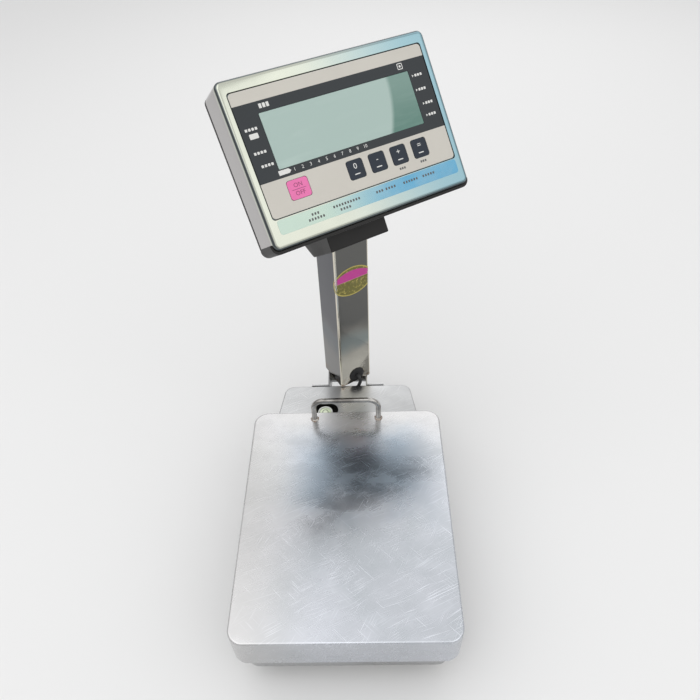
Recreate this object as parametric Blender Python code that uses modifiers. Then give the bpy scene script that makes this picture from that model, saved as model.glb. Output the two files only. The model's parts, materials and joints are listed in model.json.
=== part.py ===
"""Waterproof platform scale: a lift-off steel pan on a load cell, a square column and a tilting display head.

Metres, +Z up, the floor at z = 0. The pan faces -Y, and the column stands behind it. The whole
assembly hangs from one empty, which is moved at the end so that the origin lies at the centre of
the underside of the model's box.
"""
import math

import bmesh
import bpy
from mathutils import Matrix, Vector

MM = 0.001
GAP = 0.3 * MM          # clearance between two pieces that seat on each other
SLIP = 0.3 * MM         # radial clearance of a screw, stud or cable in its hole
SHAFT_PLAY = 0.1 * MM   # radial clearance of a shaft that something turns on
ROUND_STEPS = 4         # segments in a quarter turn of a rounded corner
THROUGH = 40 * MM       # length of a cutter that passes right through a piece

# Pan
PAN_WIDTH = 250 * MM
PAN_LENGTH = 310 * MM
PAN_TOP_Z = 108 * MM
PAN_SKIRT = 50 * MM
PAN_SHEET = 1.2 * MM
PAN_CORNER_R = 18 * MM
PAN_EDGE_R = 2.5 * MM
PAN_REAR_SKIRT = 27 * MM

# Handle on the pan
HANDLE_ROD_R = 3.4 * MM
HANDLE_SPAN = 86 * MM
HANDLE_RISE = 37 * MM
HANDLE_BEND_R = 14 * MM
HANDLE_INSET = 12 * MM

# Base housing and its tapered tongue
BASE_INSET = 10 * MM
BASE_FLOOR_Z = 20 * MM
BASE_TOP_Z = 78 * MM
BASE_SHEET = 1.5 * MM
BASE_CORNER_R = 14 * MM
BASE_EDGE_R = 2 * MM
TONGUE_LENGTH = 74.5 * MM
TONGUE_ROOT_WIDTH = 205 * MM
TONGUE_END_WIDTH = 181 * MM
TONGUE_CORNER_R = 14 * MM
TONGUE_SLOT_PLAY = 7 * MM
SHOULDER_LENGTH = 30 * MM
BOTTOM_PLATE = 3 * MM

# Spirit level under the tongue
LEVEL_X = -32 * MM
LEVEL_FROM_REAR = 46.5 * MM
LEVEL_SLOT_LENGTH = 37.5 * MM
LEVEL_SLOT_WIDTH = 24.5 * MM
LEVEL_CUP_DEPTH = 12 * MM
LEVEL_CUP_WALL = 2 * MM
LEVEL_CUP_MARGIN = 3 * MM
LEVEL_VIAL_R = 10.5 * MM
LEVEL_VIAL_H = 8 * MM

# Levelling feet
FOOT_FROM_SIDE = 37 * MM
FOOT_FROM_FRONT = 37 * MM
FOOT_FROM_REAR = 47 * MM
FOOT_PAD_R = 15 * MM
FOOT_PAD_H = 10 * MM
FOOT_STUD_R = 4 * MM
FOOT_STUD_SUNK = 6 * MM
FOOT_STUD_LENGTH = 28 * MM
FOOT_BOSS_R = 9 * MM
FOOT_BOSS_H = 8 * MM

# Load cell and the parts that pass the load to it
CELL_LENGTH = 130 * MM
CELL_WIDTH = 30 * MM
CELL_HEIGHT = 26 * MM
CELL_BORE_R = 7 * MM
CELL_BORE_SPREAD = 17 * MM
CELL_SLOT = 3 * MM
CELL_END = 34 * MM
CELL_SEAT_H = 8 * MM
SPIDER_HUB = 62 * MM
SPIDER_ARM_WIDTH = 30 * MM
SPIDER_PLATE = 5 * MM
SPIDER_RIB_H = 9 * MM
SPIDER_RIB = 4 * MM
SPIDER_LIFT = 6 * MM
PAD_FROM_SIDE = 41 * MM
PAD_FROM_END = 43 * MM
PAD_R = 12 * MM
PAD_NECK_R = 8 * MM

# Column
COLUMN_SIDE = 50 * MM
COLUMN_WALL = 1.5 * MM
COLUMN_EDGE_R = 3 * MM
COLUMN_SETBACK = 29.5 * MM
COLUMN_TURN = math.radians(31.0)
COLUMN_LIFT = 1.5 * MM
COLUMN_FOOT_H = 3 * MM

# Bracket that carries the column behind the tongue
BRACKET_SHEET = 2 * MM
BRACKET_INSIDE = 54 * MM
BRACKET_FLANGE = 25 * MM
BRACKET_DEPTH = 56 * MM
BRACKET_BOTTOM_Z = 24 * MM
BRACKET_PROUD = 0.7 * MM
BRACKET_BOLT_X = 41.5 * MM
BRACKET_BOLT_DROP = 6.5 * MM
BRACKET_BOLT_PITCH = 34 * MM
BOLT_R = 2.5 * MM
BOLT_HEAD_R = 5 * MM
BOLT_HEAD_H = 3.5 * MM
BOLT_SHANK = 9 * MM
SHELF_THICKNESS = 6 * MM
SHELF_DROP = 3 * MM
SHELF_FRONT_GAP = 19 * MM
PIVOT_R = 5 * MM
PIVOT_HEAD_R = 9 * MM
PIVOT_HEAD_H = 6.5 * MM
PIVOT_NUT_R = 9 * MM
PIVOT_NUT_H = 8 * MM
PIVOT_TAIL = 5 * MM
SWIVEL_WASHER_R = 15 * MM

# Cable from the base to the head
CABLE_R = 2.4 * MM
GROMMET_UP = 14 * MM
GROMMET_SIDE = 1 * MM
GROMMET_R = 12 * MM
GROMMET_HOLE_R = 10 * MM
GROMMET_FLANGE = 1.6 * MM
GROMMET_TAIL = 2.5 * MM
GLAND_X = 12 * MM
GLAND_Z = 34 * MM
GLAND_NUT_R = 7.5 * MM
GLAND_DOME_R = 6 * MM
GLAND_LENGTH = 10.5 * MM
GLAND_TAIL = 8 * MM
GLAND_TAIL_R = 5.5 * MM
CABLE_RUN_IN = 11.5 * MM

# Tilt joint between column and head
TILT_PIN_Z = 353 * MM
HEAD_LEAN = math.radians(37.4)
TUBE_TO_PIN = 19 * MM
PLUG_DEPTH = 12 * MM
PLUG_CAP = 1.7 * MM
BARREL_R = 12 * MM
BARREL_WEB = 14 * MM
PIN_R = 4 * MM
PIN_HEAD_R = 7 * MM
PIN_HEAD_H = 2 * MM
YOKE_WALL = 11.9 * MM
YOKE_SIDE_PLAY = 2.5 * MM
YOKE_FRONT = 33.4 * MM
YOKE_FRONT_WALL = 4 * MM
YOKE_DROP = 37 * MM
YOKE_REAR = 55 * MM
YOKE_REAR_TOP = 14 * MM
YOKE_CHAMFER = 26 * MM
YOKE_ROOT_TOP = 62 * MM
YOKE_ROOT_LOW = 9 * MM

# Head: local y runs back from the viewer, z runs up the face, both from the tilt pin
FACE_FORWARD = 100 * MM
FACE_UP = 72 * MM
HEAD_WIDTH = 246 * MM
HEAD_HEIGHT = 172 * MM
HEAD_CORNER_R = 7 * MM
HEAD_EDGE_R = 4.5 * MM
COVER_SHEET = 1.2 * MM
COVER_DEPTH = 46.5 * MM
GASKET_THICKNESS = 1.2 * MM
GASKET_WIDTH = 4 * MM
CASE_DEPTH = 6 * MM
CASE_WALL = 2.5 * MM
CASE_RIM_DEPTH = 16 * MM
CASE_RIM_WALL = 2 * MM
RECESS_DEPTH = 1.6 * MM
RECESS_SLOPE = 0.8 * MM

# Panel in the recess: its margins on the cover, then the window's and the keys' places on the panel
PANEL_FROM_SIDE = 8.7 * MM
PANEL_FROM_TOP = 13.3 * MM
PANEL_FROM_BOTTOM = 30.1 * MM
PANEL_SHEET = 1.1 * MM
PANEL_CORNER_R = 4 * MM
PANEL_PLAY = 0.5 * MM
WINDOW_FROM_SIDE = 24.8 * MM
WINDOW_FROM_TOP = 25.1 * MM
WINDOW_FROM_BOTTOM = 45.5 * MM
WINDOW_CORNER_R = 1 * MM
APERTURE_MARGIN = 4 * MM
KEY_WIDTH = 19.3 * MM
KEY_HEIGHT = 19.8 * MM
POWER_KEY_WIDTH = 23.5 * MM
POWER_KEY_X = -75.6 * MM
KEY_ROW_FROM_BOTTOM = 22.4 * MM
KEY_FIRST_X = -7.6 * MM
KEY_PITCH = 27.3 * MM
KEY_SHEET = 0.7 * MM
KEY_CORNER_R = 3 * MM
KEY_PROUD = 0.1 * MM
KEY_PLAY = 0.4 * MM

# Inside the head
LCD_MARGIN = 5 * MM
LCD_THICKNESS = 8 * MM
BOARD_FROM_SIDE = 16 * MM
BOARD_FROM_END = 27 * MM
BOARD_SHEET = 1.6 * MM
BOARD_POST_R = 4 * MM
BOARD_POST_INSET = 7 * MM

# Batteries behind their cover on the back of the head
CELL_D_R = 16.5 * MM
CELL_D_LENGTH = 60 * MM
CELL_D_CAP_R = 5 * MM
CELL_D_CAP_H = 1.5 * MM
BATTERY_FROM_TOP = 44 * MM
BATTERY_PLAY = 1 * MM
BATTERY_WALL = 2.2 * MM
BATTERY_COVER_MARGIN = 7 * MM
BATTERY_COVER_SHEET = 3 * MM

# Case screws
SCREW_R = 1.8 * MM
SCREW_HEAD_R = 3.6 * MM
SCREW_HEAD_H = 1.6 * MM
SCREW_LENGTH = 9 * MM
SCREW_INSET = 13 * MM
SCREW_POST_R = 5 * MM

# Black rail under the head, with an upturned guard at each end
RAIL_THICKNESS = 3.7 * MM
RAIL_SIDE = 1.8 * MM
RAIL_SETBACK = 5 * MM
RAIL_RISE = 8 * MM
RAIL_DEPTH = 41 * MM
RAIL_ARCH_R = 6 * MM
RAIL_EDGE_R = 0.8 * MM


def fresh_scene():
    for old in list(bpy.data.objects):
        bpy.data.objects.remove(old, do_unlink=True)


def collection(name):
    found = bpy.data.collections.new(name)
    bpy.context.scene.collection.children.link(found)
    return found


def finish(name, colour, roughness, metallic=0.0):
    material = bpy.data.materials.new(name)
    material.use_nodes = True
    shader = material.node_tree.nodes["Principled BSDF"]
    shader.inputs["Base Color"].default_value = (*colour, 1.0)
    shader.inputs["Roughness"].default_value = roughness
    shader.inputs["Metallic"].default_value = metallic
    return material


fresh_scene()
PARTS = collection("platform_scale")
CUTTERS = collection("cutters")

SATIN_STEEL = finish("satin_steel", (0.62, 0.63, 0.64), 0.38, 1.0)
POLISHED_STEEL = finish("polished_steel", (0.70, 0.71, 0.72), 0.12, 1.0)
ZINC_STEEL = finish("zinc_steel", (0.55, 0.56, 0.56), 0.35, 1.0)
ALUMINIUM = finish("aluminium", (0.68, 0.69, 0.70), 0.42, 1.0)
BLACK_PLASTIC = finish("black_plastic", (0.022, 0.023, 0.026), 0.45)
BLACK_RUBBER = finish("black_rubber", (0.018, 0.018, 0.019), 0.75)
PANEL_FILM = finish("panel_film", (0.64, 0.61, 0.56), 0.40)
LCD_GREEN = finish("lcd_green", (0.30, 0.44, 0.39), 0.15)
KEY_PINK = finish("key_pink", (0.80, 0.20, 0.42), 0.40)
KEY_DARK = finish("key_dark", (0.020, 0.026, 0.038), 0.40)
BOARD_GREEN = finish("board_green", (0.03, 0.16, 0.07), 0.50)
VIAL_WHITE = finish("vial_white", (0.80, 0.82, 0.78), 0.25)
BATTERY_GREY = finish("battery_grey", (0.20, 0.21, 0.23), 0.35)


def empty(name, parent=None, location=(0.0, 0.0, 0.0), rotation=(0.0, 0.0, 0.0)):
    holder = bpy.data.objects.new(name, None)
    PARTS.objects.link(holder)
    holder.parent = parent
    holder.location = location
    holder.rotation_euler = rotation
    return holder


def make(name, bm, material, parent, location=(0.0, 0.0, 0.0), rotation=(0.0, 0.0, 0.0), cutter=False):
    """Turns a bmesh into a named object, shaded smooth with its sharp edges kept."""
    mesh = bpy.data.meshes.new(name)
    bmesh.ops.recalc_face_normals(bm, faces=bm.faces)
    bm.to_mesh(mesh)
    bm.free()
    mesh.shade_smooth()
    mesh.set_sharp_from_angle(angle=math.radians(35))
    piece = bpy.data.objects.new(name, mesh)
    piece.parent = parent
    piece.location = location
    piece.rotation_euler = rotation
    if cutter:
        CUTTERS.objects.link(piece)
        piece.hide_render = True
        piece.display_type = "WIRE"
    else:
        PARTS.objects.link(piece)
        mesh.materials.append(material)
    return piece


def boolean(piece, other, operation="DIFFERENCE"):
    modifier = piece.modifiers.new(operation.lower(), "BOOLEAN")
    modifier.operation = operation
    modifier.object = other
    modifier.solver = "EXACT"
    return piece


def soften(piece, width, segments=2, angle=40.0):
    modifier = piece.modifiers.new("rounding", "BEVEL")
    modifier.width = width
    modifier.segments = segments
    modifier.limit_method = "ANGLE"
    modifier.angle_limit = math.radians(angle)
    return piece


def box_mesh(size, centre=(0.0, 0.0, 0.0)):
    bm = bmesh.new()
    bmesh.ops.create_cube(bm, size=1.0)
    bmesh.ops.scale(bm, vec=size, verts=bm.verts)
    bmesh.ops.translate(bm, vec=centre, verts=bm.verts)
    return bm


def box(name, low, high, material, parent, cutter=False):
    """A box between two corners, in its parent's axes."""
    low = Vector(low)
    high = Vector(high)
    return make(name, box_mesh(high - low), material, parent, location=(low + high) / 2, cutter=cutter)


ALONG = {
    "X": (0.0, math.radians(90), 0.0),
    "Y": (math.radians(90), 0.0, 0.0),
    "Z": (0.0, 0.0, 0.0),
}


def rod(name, radius, length, centre, axis, material, parent, cutter=False, sides=24):
    bm = bmesh.new()
    bmesh.ops.create_cone(
        bm, cap_ends=True, segments=sides, radius1=radius, radius2=radius, depth=length
    )
    return make(name, bm, material, parent, location=centre, rotation=ALONG[axis], cutter=cutter)


def turned(name, profile, material, parent, location=(0.0, 0.0, 0.0), rotation=(0.0, 0.0, 0.0), steps=24):
    """Revolves (radius, height) points, given from the top down the outside, about local Z."""
    bm = bmesh.new()
    ring = [bm.verts.new((radius, 0.0, height)) for radius, height in profile]
    for first, second in zip(ring, ring[1:]):
        bm.edges.new((first, second))
    mesh = bpy.data.meshes.new(name)
    bm.to_mesh(mesh)
    bm.free()
    mesh.materials.append(material)
    piece = bpy.data.objects.new(name, mesh)
    PARTS.objects.link(piece)
    piece.parent = parent
    piece.location = location
    piece.rotation_euler = rotation
    screw = piece.modifiers.new("turn", "SCREW")
    screw.steps = steps
    screw.render_steps = steps
    screw.use_merge_vertices = True
    screw.merge_threshold = 0.00005
    screw.use_smooth_shade = True
    return piece


def bored(profile, bore_r):
    """Closes a turned profile round a bore: the outside, then back up the inside."""
    top = profile[0][1]
    bottom = profile[-1][1]
    return [(bore_r, top)] + profile + [(bore_r, bottom), (bore_r, top)]


def solid_turn(profile):
    """Closes a turned profile on the axis."""
    return [(0.0, profile[0][1])] + profile + [(0.0, profile[-1][1])]


def fillet(corner, before, after, radius, steps):
    """Points of the arc that rounds one corner of an outline."""
    corner = Vector(corner)
    back = (Vector(before) - corner).normalized()
    ahead = (Vector(after) - corner).normalized()
    opening = back.angle(ahead)
    if radius <= 0.0 or opening > math.radians(179):
        return [tuple(corner)]
    reach = radius / math.tan(opening / 2)
    centre = corner + (back + ahead).normalized() * radius / math.sin(opening / 2)
    start = corner + back * reach - centre
    turn = math.pi - opening
    side = 1.0 if back.x * ahead.y - back.y * ahead.x < 0 else -1.0
    arc = []
    for step in range(steps + 1):
        angle = side * turn * step / steps
        spun = Matrix.Rotation(angle, 2) @ start
        arc.append(tuple(centre + spun))
    return arc


def outline(corners, steps=ROUND_STEPS):
    """An outline from (x, y, radius) corners, each rounded by its own radius."""
    points = []
    count = len(corners)
    for index, (x, y, radius) in enumerate(corners):
        before = corners[index - 1][:2]
        after = corners[(index + 1) % count][:2]
        points.extend(fillet((x, y), before, after, radius, steps))
    return points


def rectangle(width, height, radius, centre=(0.0, 0.0)):
    x, y = centre
    half_w = width / 2
    half_h = height / 2
    return outline([
        (x - half_w, y - half_h, radius),
        (x + half_w, y - half_h, radius),
        (x + half_w, y + half_h, radius),
        (x - half_w, y + half_h, radius),
    ])


def slab(name, points, thickness, material, parent, location=(0.0, 0.0, 0.0),
         rotation=(0.0, 0.0, 0.0), cutter=False, holes=(), top_r=0.0):
    """A flat outline with optional holes, extruded from local z = 0 up to the thickness."""
    curve = bpy.data.curves.new(name, "CURVE")
    curve.dimensions = "2D"
    curve.fill_mode = "BOTH"
    curve.extrude = thickness / 2
    for ring in (points, *holes):
        spline = curve.splines.new("POLY")
        spline.points.add(len(ring) - 1)
        for point, (x, y) in zip(spline.points, ring):
            point.co = (x, y, 0.0, 1.0)
        spline.use_cyclic_u = True
    helper = bpy.data.objects.new(name + "_outline", curve)
    PARTS.objects.link(helper)
    bpy.context.view_layer.update()
    evaluated = helper.evaluated_get(bpy.context.evaluated_depsgraph_get())
    flat = bpy.data.meshes.new_from_object(evaluated)
    bm = bmesh.new()
    bm.from_mesh(flat)
    bmesh.ops.remove_doubles(bm, verts=bm.verts, dist=0.00001)
    bmesh.ops.translate(bm, vec=(0.0, 0.0, thickness / 2), verts=bm.verts)
    bmesh.ops.dissolve_limit(bm, angle_limit=0.001, verts=bm.verts, edges=bm.edges)
    if top_r > 0.0:
        rim = [
            e for e in bm.edges
            if all(v.co.z > thickness - 1e-6 for v in e.verts)
            and any(abs(f.normal.z) < 0.5 for f in e.link_faces)
        ]
        bmesh.ops.bevel(
            bm, geom=rim, offset=top_r, offset_type="OFFSET", segments=3, profile=0.5, affect="EDGES"
        )
    bpy.data.objects.remove(helper, do_unlink=True)
    bpy.data.meshes.remove(flat)
    return make(name, bm, material, parent, location=location, rotation=rotation, cutter=cutter)


def rounded_shell(name, size, corner_r, edge_r, wall, material, parent, location=(0.0, 0.0, 0.0),
                  rotation=(0.0, 0.0, 0.0), shape_front=None):
    """A sheet box with its closed face at local z = 0 and its open side at z = -depth."""
    width, height, depth = size
    bm = box_mesh(size, centre=(0.0, 0.0, -depth / 2))
    bmesh.ops.delete(bm, geom=[f for f in bm.faces if f.normal.z < -0.5], context="FACES_ONLY")
    upright = [e for e in bm.edges if abs(e.verts[0].co.z - e.verts[1].co.z) > depth / 2]
    bmesh.ops.bevel(
        bm, geom=upright, offset=corner_r, offset_type="OFFSET",
        segments=ROUND_STEPS, profile=0.5, affect="EDGES"
    )
    rim = [e for e in bm.edges if all(abs(v.co.z) < 1e-7 for v in e.verts) and not e.is_boundary]
    bmesh.ops.bevel(
        bm, geom=rim, offset=edge_r, offset_type="OFFSET", segments=3, profile=0.5, affect="EDGES"
    )
    if shape_front:
        shape_front(bm)
    piece = make(name, bm, material, parent, location=location, rotation=rotation)
    solidify = piece.modifiers.new("sheet", "SOLIDIFY")
    solidify.thickness = wall
    solidify.offset = -1.0
    solidify.use_even_offset = True
    return piece


def wire(name, points, radius, material, parent, resolution=2, smooth_steps=6):
    """A round bar or cable along a smooth line through the points."""
    curve = bpy.data.curves.new(name, "CURVE")
    curve.dimensions = "3D"
    curve.bevel_depth = radius
    curve.bevel_resolution = resolution
    curve.use_fill_caps = True
    spline = curve.splines.new("POLY")
    spline.points.add(len(points) - 1)
    for target, point in zip(spline.points, points):
        target.co = (*point, 1.0)
    curve.materials.append(material)
    piece = bpy.data.objects.new(name, curve)
    PARTS.objects.link(piece)
    piece.parent = parent
    return piece


def smooth_line(knots, steps):
    """Catmull-Rom points through the knots, the ends repeated."""
    knots = [Vector(k) for k in knots]
    padded = [knots[0] * 2 - knots[1]] + knots + [knots[-1] * 2 - knots[-2]]
    line = []
    for index in range(1, len(padded) - 2):
        before, start, end, after = padded[index - 1:index + 3]
        for step in range(steps):
            t = step / steps
            line.append(0.5 * (
                2 * start + (end - before) * t
                + (2 * before - 5 * start + 4 * end - after) * t ** 2
                + (3 * start - before - 3 * end + after) * t ** 3
            ))
    line.append(knots[-1])
    return line


ROOT = empty("scale_origin")

# Places that more than one piece is set out from
PAN_REAR_Y = PAN_LENGTH / 2
TONGUE_REAR_Y = PAN_REAR_Y + TONGUE_LENGTH
COLUMN_Y = TONGUE_REAR_Y + COLUMN_SETBACK
BASE_HALF = PAN_WIDTH / 2 - BASE_INSET
BASE_FRONT_Y = -PAN_LENGTH / 2 + BASE_INSET
COLUMN_BOTTOM_Z = BASE_TOP_Z + COLUMN_LIFT
BRACKET_TOP_Z = BASE_TOP_Z + BRACKET_PROUD
SHELF_TOP_Z = BASE_TOP_Z - SHELF_DROP
CELL_FLOOR_Z = BASE_FLOOR_Z + BOTTOM_PLATE + GAP + CELL_SEAT_H + GAP
SPIDER_Z = BASE_TOP_Z + SPIDER_LIFT
FOOT_X = PAN_WIDTH / 2 - FOOT_FROM_SIDE
FOOT_FRONT_Y = -PAN_LENGTH / 2 + FOOT_FROM_FRONT
FOOT_REAR_Y = PAN_LENGTH / 2 - FOOT_FROM_REAR
PAD_X = PAN_WIDTH / 2 - PAD_FROM_SIDE
PAD_Y = PAN_LENGTH / 2 - PAD_FROM_END
PANEL_WIDTH = HEAD_WIDTH - 2 * PANEL_FROM_SIDE
PANEL_HEIGHT = HEAD_HEIGHT - PANEL_FROM_TOP - PANEL_FROM_BOTTOM
PANEL_UP = (PANEL_FROM_BOTTOM - PANEL_FROM_TOP) / 2
WINDOW_WIDTH = PANEL_WIDTH - 2 * WINDOW_FROM_SIDE
WINDOW_HEIGHT = PANEL_HEIGHT - WINDOW_FROM_TOP - WINDOW_FROM_BOTTOM
WINDOW_UP = PANEL_UP + (WINDOW_FROM_BOTTOM - WINDOW_FROM_TOP) / 2
KEY_ROW_UP = PANEL_UP - PANEL_HEIGHT / 2 + KEY_ROW_FROM_BOTTOM
BOARD_WIDTH = HEAD_WIDTH - 2 * BOARD_FROM_SIDE
BOARD_HEIGHT = HEAD_HEIGHT - 2 * BOARD_FROM_END
BATTERY_UP = HEAD_HEIGHT / 2 - BATTERY_FROM_TOP

COLUMN_AXIS = empty("column_axis", ROOT, (0.0, COLUMN_Y, 0.0), (0.0, 0.0, COLUMN_TURN))
HEAD_AXIS = empty("head_axis", COLUMN_AXIS, (0.0, 0.0, TILT_PIN_Z), (-HEAD_LEAN, 0.0, 0.0))
FACE = empty("head_face", HEAD_AXIS, (0.0, -FACE_FORWARD, FACE_UP), (math.radians(90), 0.0, 0.0))
# In the face's axes x runs right, y runs up the face and z points out at the viewer.


def build_pan():
    pan = rounded_shell(
        "pan", (PAN_WIDTH, PAN_LENGTH, PAN_SKIRT), PAN_CORNER_R, PAN_EDGE_R, PAN_SHEET,
        SATIN_STEEL, ROOT, location=(0.0, 0.0, PAN_TOP_Z)
    )
    notch_half = TONGUE_ROOT_WIDTH / 2 + TONGUE_SLOT_PLAY
    notch = box(
        "pan_notch",
        (-notch_half, PAN_REAR_Y - PAN_CORNER_R, PAN_TOP_Z - PAN_SKIRT - 1 * MM),
        (notch_half, PAN_REAR_Y + 1 * MM, PAN_TOP_Z - PAN_REAR_SKIRT),
        None, ROOT, cutter=True
    )
    boolean(pan, notch)


def build_handle():
    foot_z = PAN_TOP_Z + GAP
    bar_z = PAN_TOP_Z + HANDLE_RISE
    y = PAN_REAR_Y - HANDLE_INSET
    half = HANDLE_SPAN / 2
    bend = HANDLE_BEND_R
    points = [(-half, y, foot_z)]
    for side, start in ((-1.0, math.pi), (1.0, math.pi / 2)):
        centre_x = side * (half - bend)
        for step in range(9):
            angle = start - math.pi / 2 * step / 8
            points.append((centre_x + bend * math.cos(angle), y, bar_z - bend + bend * math.sin(angle)))
    points.append((half, y, foot_z))
    wire("pan_handle", points, HANDLE_ROD_R, POLISHED_STEEL, ROOT, resolution=4)


def base_corners(inset=0.0):
    """Corners of the housing with its tongue, moved in by an even amount."""
    half = BASE_HALF - inset
    front = BASE_FRONT_Y + inset
    rear = TONGUE_REAR_Y - inset
    root = TONGUE_ROOT_WIDTH / 2 - inset
    end = TONGUE_END_WIDTH / 2 - inset
    neck_y = PAN_REAR_Y - 4 * MM
    shoulder_y = neck_y - SHOULDER_LENGTH
    outer_r = BASE_CORNER_R - inset
    rear_r = TONGUE_CORNER_R - inset
    right = [
        (half, front, outer_r),
        (half, shoulder_y, outer_r),
        (root, neck_y, outer_r),
        (end, rear, rear_r),
    ]
    left = [(-x, y, r) for x, y, r in reversed(right)]
    return right + left


def build_base_housing():
    """A folded steel cover with a tapered tongue, open underneath."""
    height = BASE_TOP_Z - BASE_FLOOR_Z
    core = slab("base_housing", outline(base_corners()), height, SATIN_STEEL, ROOT,
                location=(0.0, 0.0, BASE_FLOOR_Z), top_r=BASE_EDGE_R)
    inner = slab("housing_inside", outline(base_corners(BASE_SHEET)), height, None, ROOT,
                 location=(0.0, 0.0, BASE_FLOOR_Z - BASE_SHEET), cutter=True,
                 top_r=BASE_EDGE_R - BASE_SHEET)
    boolean(core, inner)
    slot = slab("level_slot", level_outline(0.0), 10 * MM, None, ROOT,
                location=(LEVEL_X, level_y(), BASE_TOP_Z - 5 * MM), cutter=True)
    boolean(core, slot)
    half = CELL_WIDTH / 2 + 6 * MM
    post_y = (CELL_LENGTH - CELL_END) / 2
    port = box("load_port", (-half, post_y - half, BASE_TOP_Z - 5 * MM),
               (half, post_y + half, BASE_TOP_Z + 5 * MM), None, ROOT, cutter=True)
    boolean(core, port)
    for side in (-1.0, 1.0):
        for drop in (0.0, BRACKET_BOLT_PITCH):
            z = BASE_TOP_Z - BRACKET_BOLT_DROP - drop
            hole = rod("housing_bolt_hole", BOLT_R + SLIP, 8 * MM,
                       (side * BRACKET_BOLT_X, TONGUE_REAR_Y, z), "Y", None, ROOT, cutter=True, sides=16)
            boolean(core, hole)
    gland_hole = rod("gland_hole", GLAND_TAIL_R + SLIP, 8 * MM, (GLAND_X, TONGUE_REAR_Y, GLAND_Z),
                     "Y", None, ROOT, cutter=True, sides=24)
    boolean(core, gland_hole)


def build_bottom_plate():
    plate = slab("bottom_plate", outline(base_corners(BASE_SHEET + GAP)), BOTTOM_PLATE, ZINC_STEEL, ROOT,
                 location=(0.0, 0.0, BASE_FLOOR_Z))
    for x, y in foot_places():
        boss = rod("foot_boss", FOOT_BOSS_R, FOOT_BOSS_H + BOTTOM_PLATE,
                   (x, y, BASE_FLOOR_Z + (FOOT_BOSS_H + BOTTOM_PLATE) / 2), "Z", None, ROOT, cutter=True,
                   sides=24)
        boolean(plate, boss, "UNION")
        hole = rod("foot_hole", FOOT_STUD_R + SLIP, 60 * MM, (x, y, BASE_FLOOR_Z), "Z", None, ROOT,
                   cutter=True, sides=24)
        boolean(plate, hole)


def foot_places():
    return [(x, y) for y in (FOOT_FRONT_Y, FOOT_REAR_Y) for x in (-FOOT_X, FOOT_X)]


FOOT_NAMES = ("front_left", "front_right", "rear_left", "rear_right")


def build_feet():
    """Rubber pads on threaded studs that screw up into bosses in the bottom plate."""
    well_r = FOOT_STUD_R + SLIP
    well_z = FOOT_PAD_H - FOOT_STUD_SUNK
    for name, (x, y) in zip(FOOT_NAMES, foot_places()):
        turned(
            "foot_pad_" + name,
            [
                (0.0, well_z), (well_r, well_z), (well_r, FOOT_PAD_H), (FOOT_PAD_R * 0.6, FOOT_PAD_H),
                (FOOT_PAD_R * 0.95, FOOT_PAD_H * 0.55), (FOOT_PAD_R, FOOT_PAD_H * 0.2),
                (FOOT_PAD_R * 0.95, 0.0), (0.0, 0.0),
            ],
            BLACK_RUBBER, ROOT, location=(x, y, 0.0)
        )
        start = well_z + GAP
        rod("foot_stud_" + name, FOOT_STUD_R, FOOT_STUD_LENGTH,
            (x, y, start + FOOT_STUD_LENGTH / 2), "Z", ZINC_STEEL, ROOT, sides=24)


def level_y():
    return TONGUE_REAR_Y - LEVEL_FROM_REAR


def level_outline(margin):
    width = LEVEL_SLOT_WIDTH + 2 * margin
    return rectangle(LEVEL_SLOT_LENGTH + 2 * margin, width, width / 2 - 0.01 * MM)


def build_level():
    """A cup under the slot in the tongue, with the round vial standing in it."""
    top = BASE_TOP_Z - BASE_SHEET - GAP
    cup = slab("level_cup", level_outline(LEVEL_CUP_MARGIN), LEVEL_CUP_DEPTH, BLACK_PLASTIC, ROOT,
               location=(LEVEL_X, level_y(), top - LEVEL_CUP_DEPTH))
    hollow = slab("level_cup_hollow", level_outline(LEVEL_CUP_MARGIN - LEVEL_CUP_WALL), LEVEL_CUP_DEPTH,
                  None, ROOT, location=(LEVEL_X, level_y(), top - LEVEL_CUP_DEPTH + LEVEL_CUP_WALL),
                  cutter=True)
    boolean(cup, hollow)
    floor = top - LEVEL_CUP_DEPTH + LEVEL_CUP_WALL + GAP
    turned(
        "level_vial",
        solid_turn([
            (LEVEL_VIAL_R * 0.8, LEVEL_VIAL_H), (LEVEL_VIAL_R * 0.95, LEVEL_VIAL_H * 0.94),
            (LEVEL_VIAL_R, LEVEL_VIAL_H * 0.8), (LEVEL_VIAL_R, 0.0),
        ]),
        VIAL_WHITE, ROOT, location=(LEVEL_X, level_y(), floor)
    )


def build_load_cell():
    """A binocular beam: fixed to the base at its front end, carrying the spider at its rear end."""
    low = CELL_FLOOR_Z
    beam = box("load_cell", (-CELL_WIDTH / 2, -CELL_LENGTH / 2, low),
               (CELL_WIDTH / 2, CELL_LENGTH / 2, low + CELL_HEIGHT), ALUMINIUM, ROOT)
    soften(beam, 0.8 * MM, segments=1)
    middle_z = low + CELL_HEIGHT / 2
    through = CELL_WIDTH + 10 * MM
    for side in (-1.0, 1.0):
        bore = rod("cell_bore", CELL_BORE_R, through, (0.0, side * CELL_BORE_SPREAD, middle_z), "X",
                   None, ROOT, cutter=True)
        boolean(beam, bore)
    slot = box("cell_slot", (-through / 2, -CELL_BORE_SPREAD, middle_z - CELL_SLOT / 2),
               (through / 2, CELL_BORE_SPREAD, middle_z + CELL_SLOT / 2), None, ROOT, cutter=True)
    boolean(beam, slot)
    half = CELL_WIDTH / 2
    seat_low = BASE_FLOOR_Z + BOTTOM_PLATE + GAP
    seat = box("cell_seat", (-half, -CELL_LENGTH / 2, seat_low),
               (half, -CELL_LENGTH / 2 + CELL_END, seat_low + CELL_SEAT_H), ZINC_STEEL, ROOT)
    soften(seat, 0.6 * MM, segments=1)
    post = box("cell_post", (-half, CELL_LENGTH / 2 - CELL_END, low + CELL_HEIGHT + GAP),
               (half, CELL_LENGTH / 2, SPIDER_Z - GAP), ZINC_STEEL, ROOT)
    soften(post, 0.6 * MM, segments=1)


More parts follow.
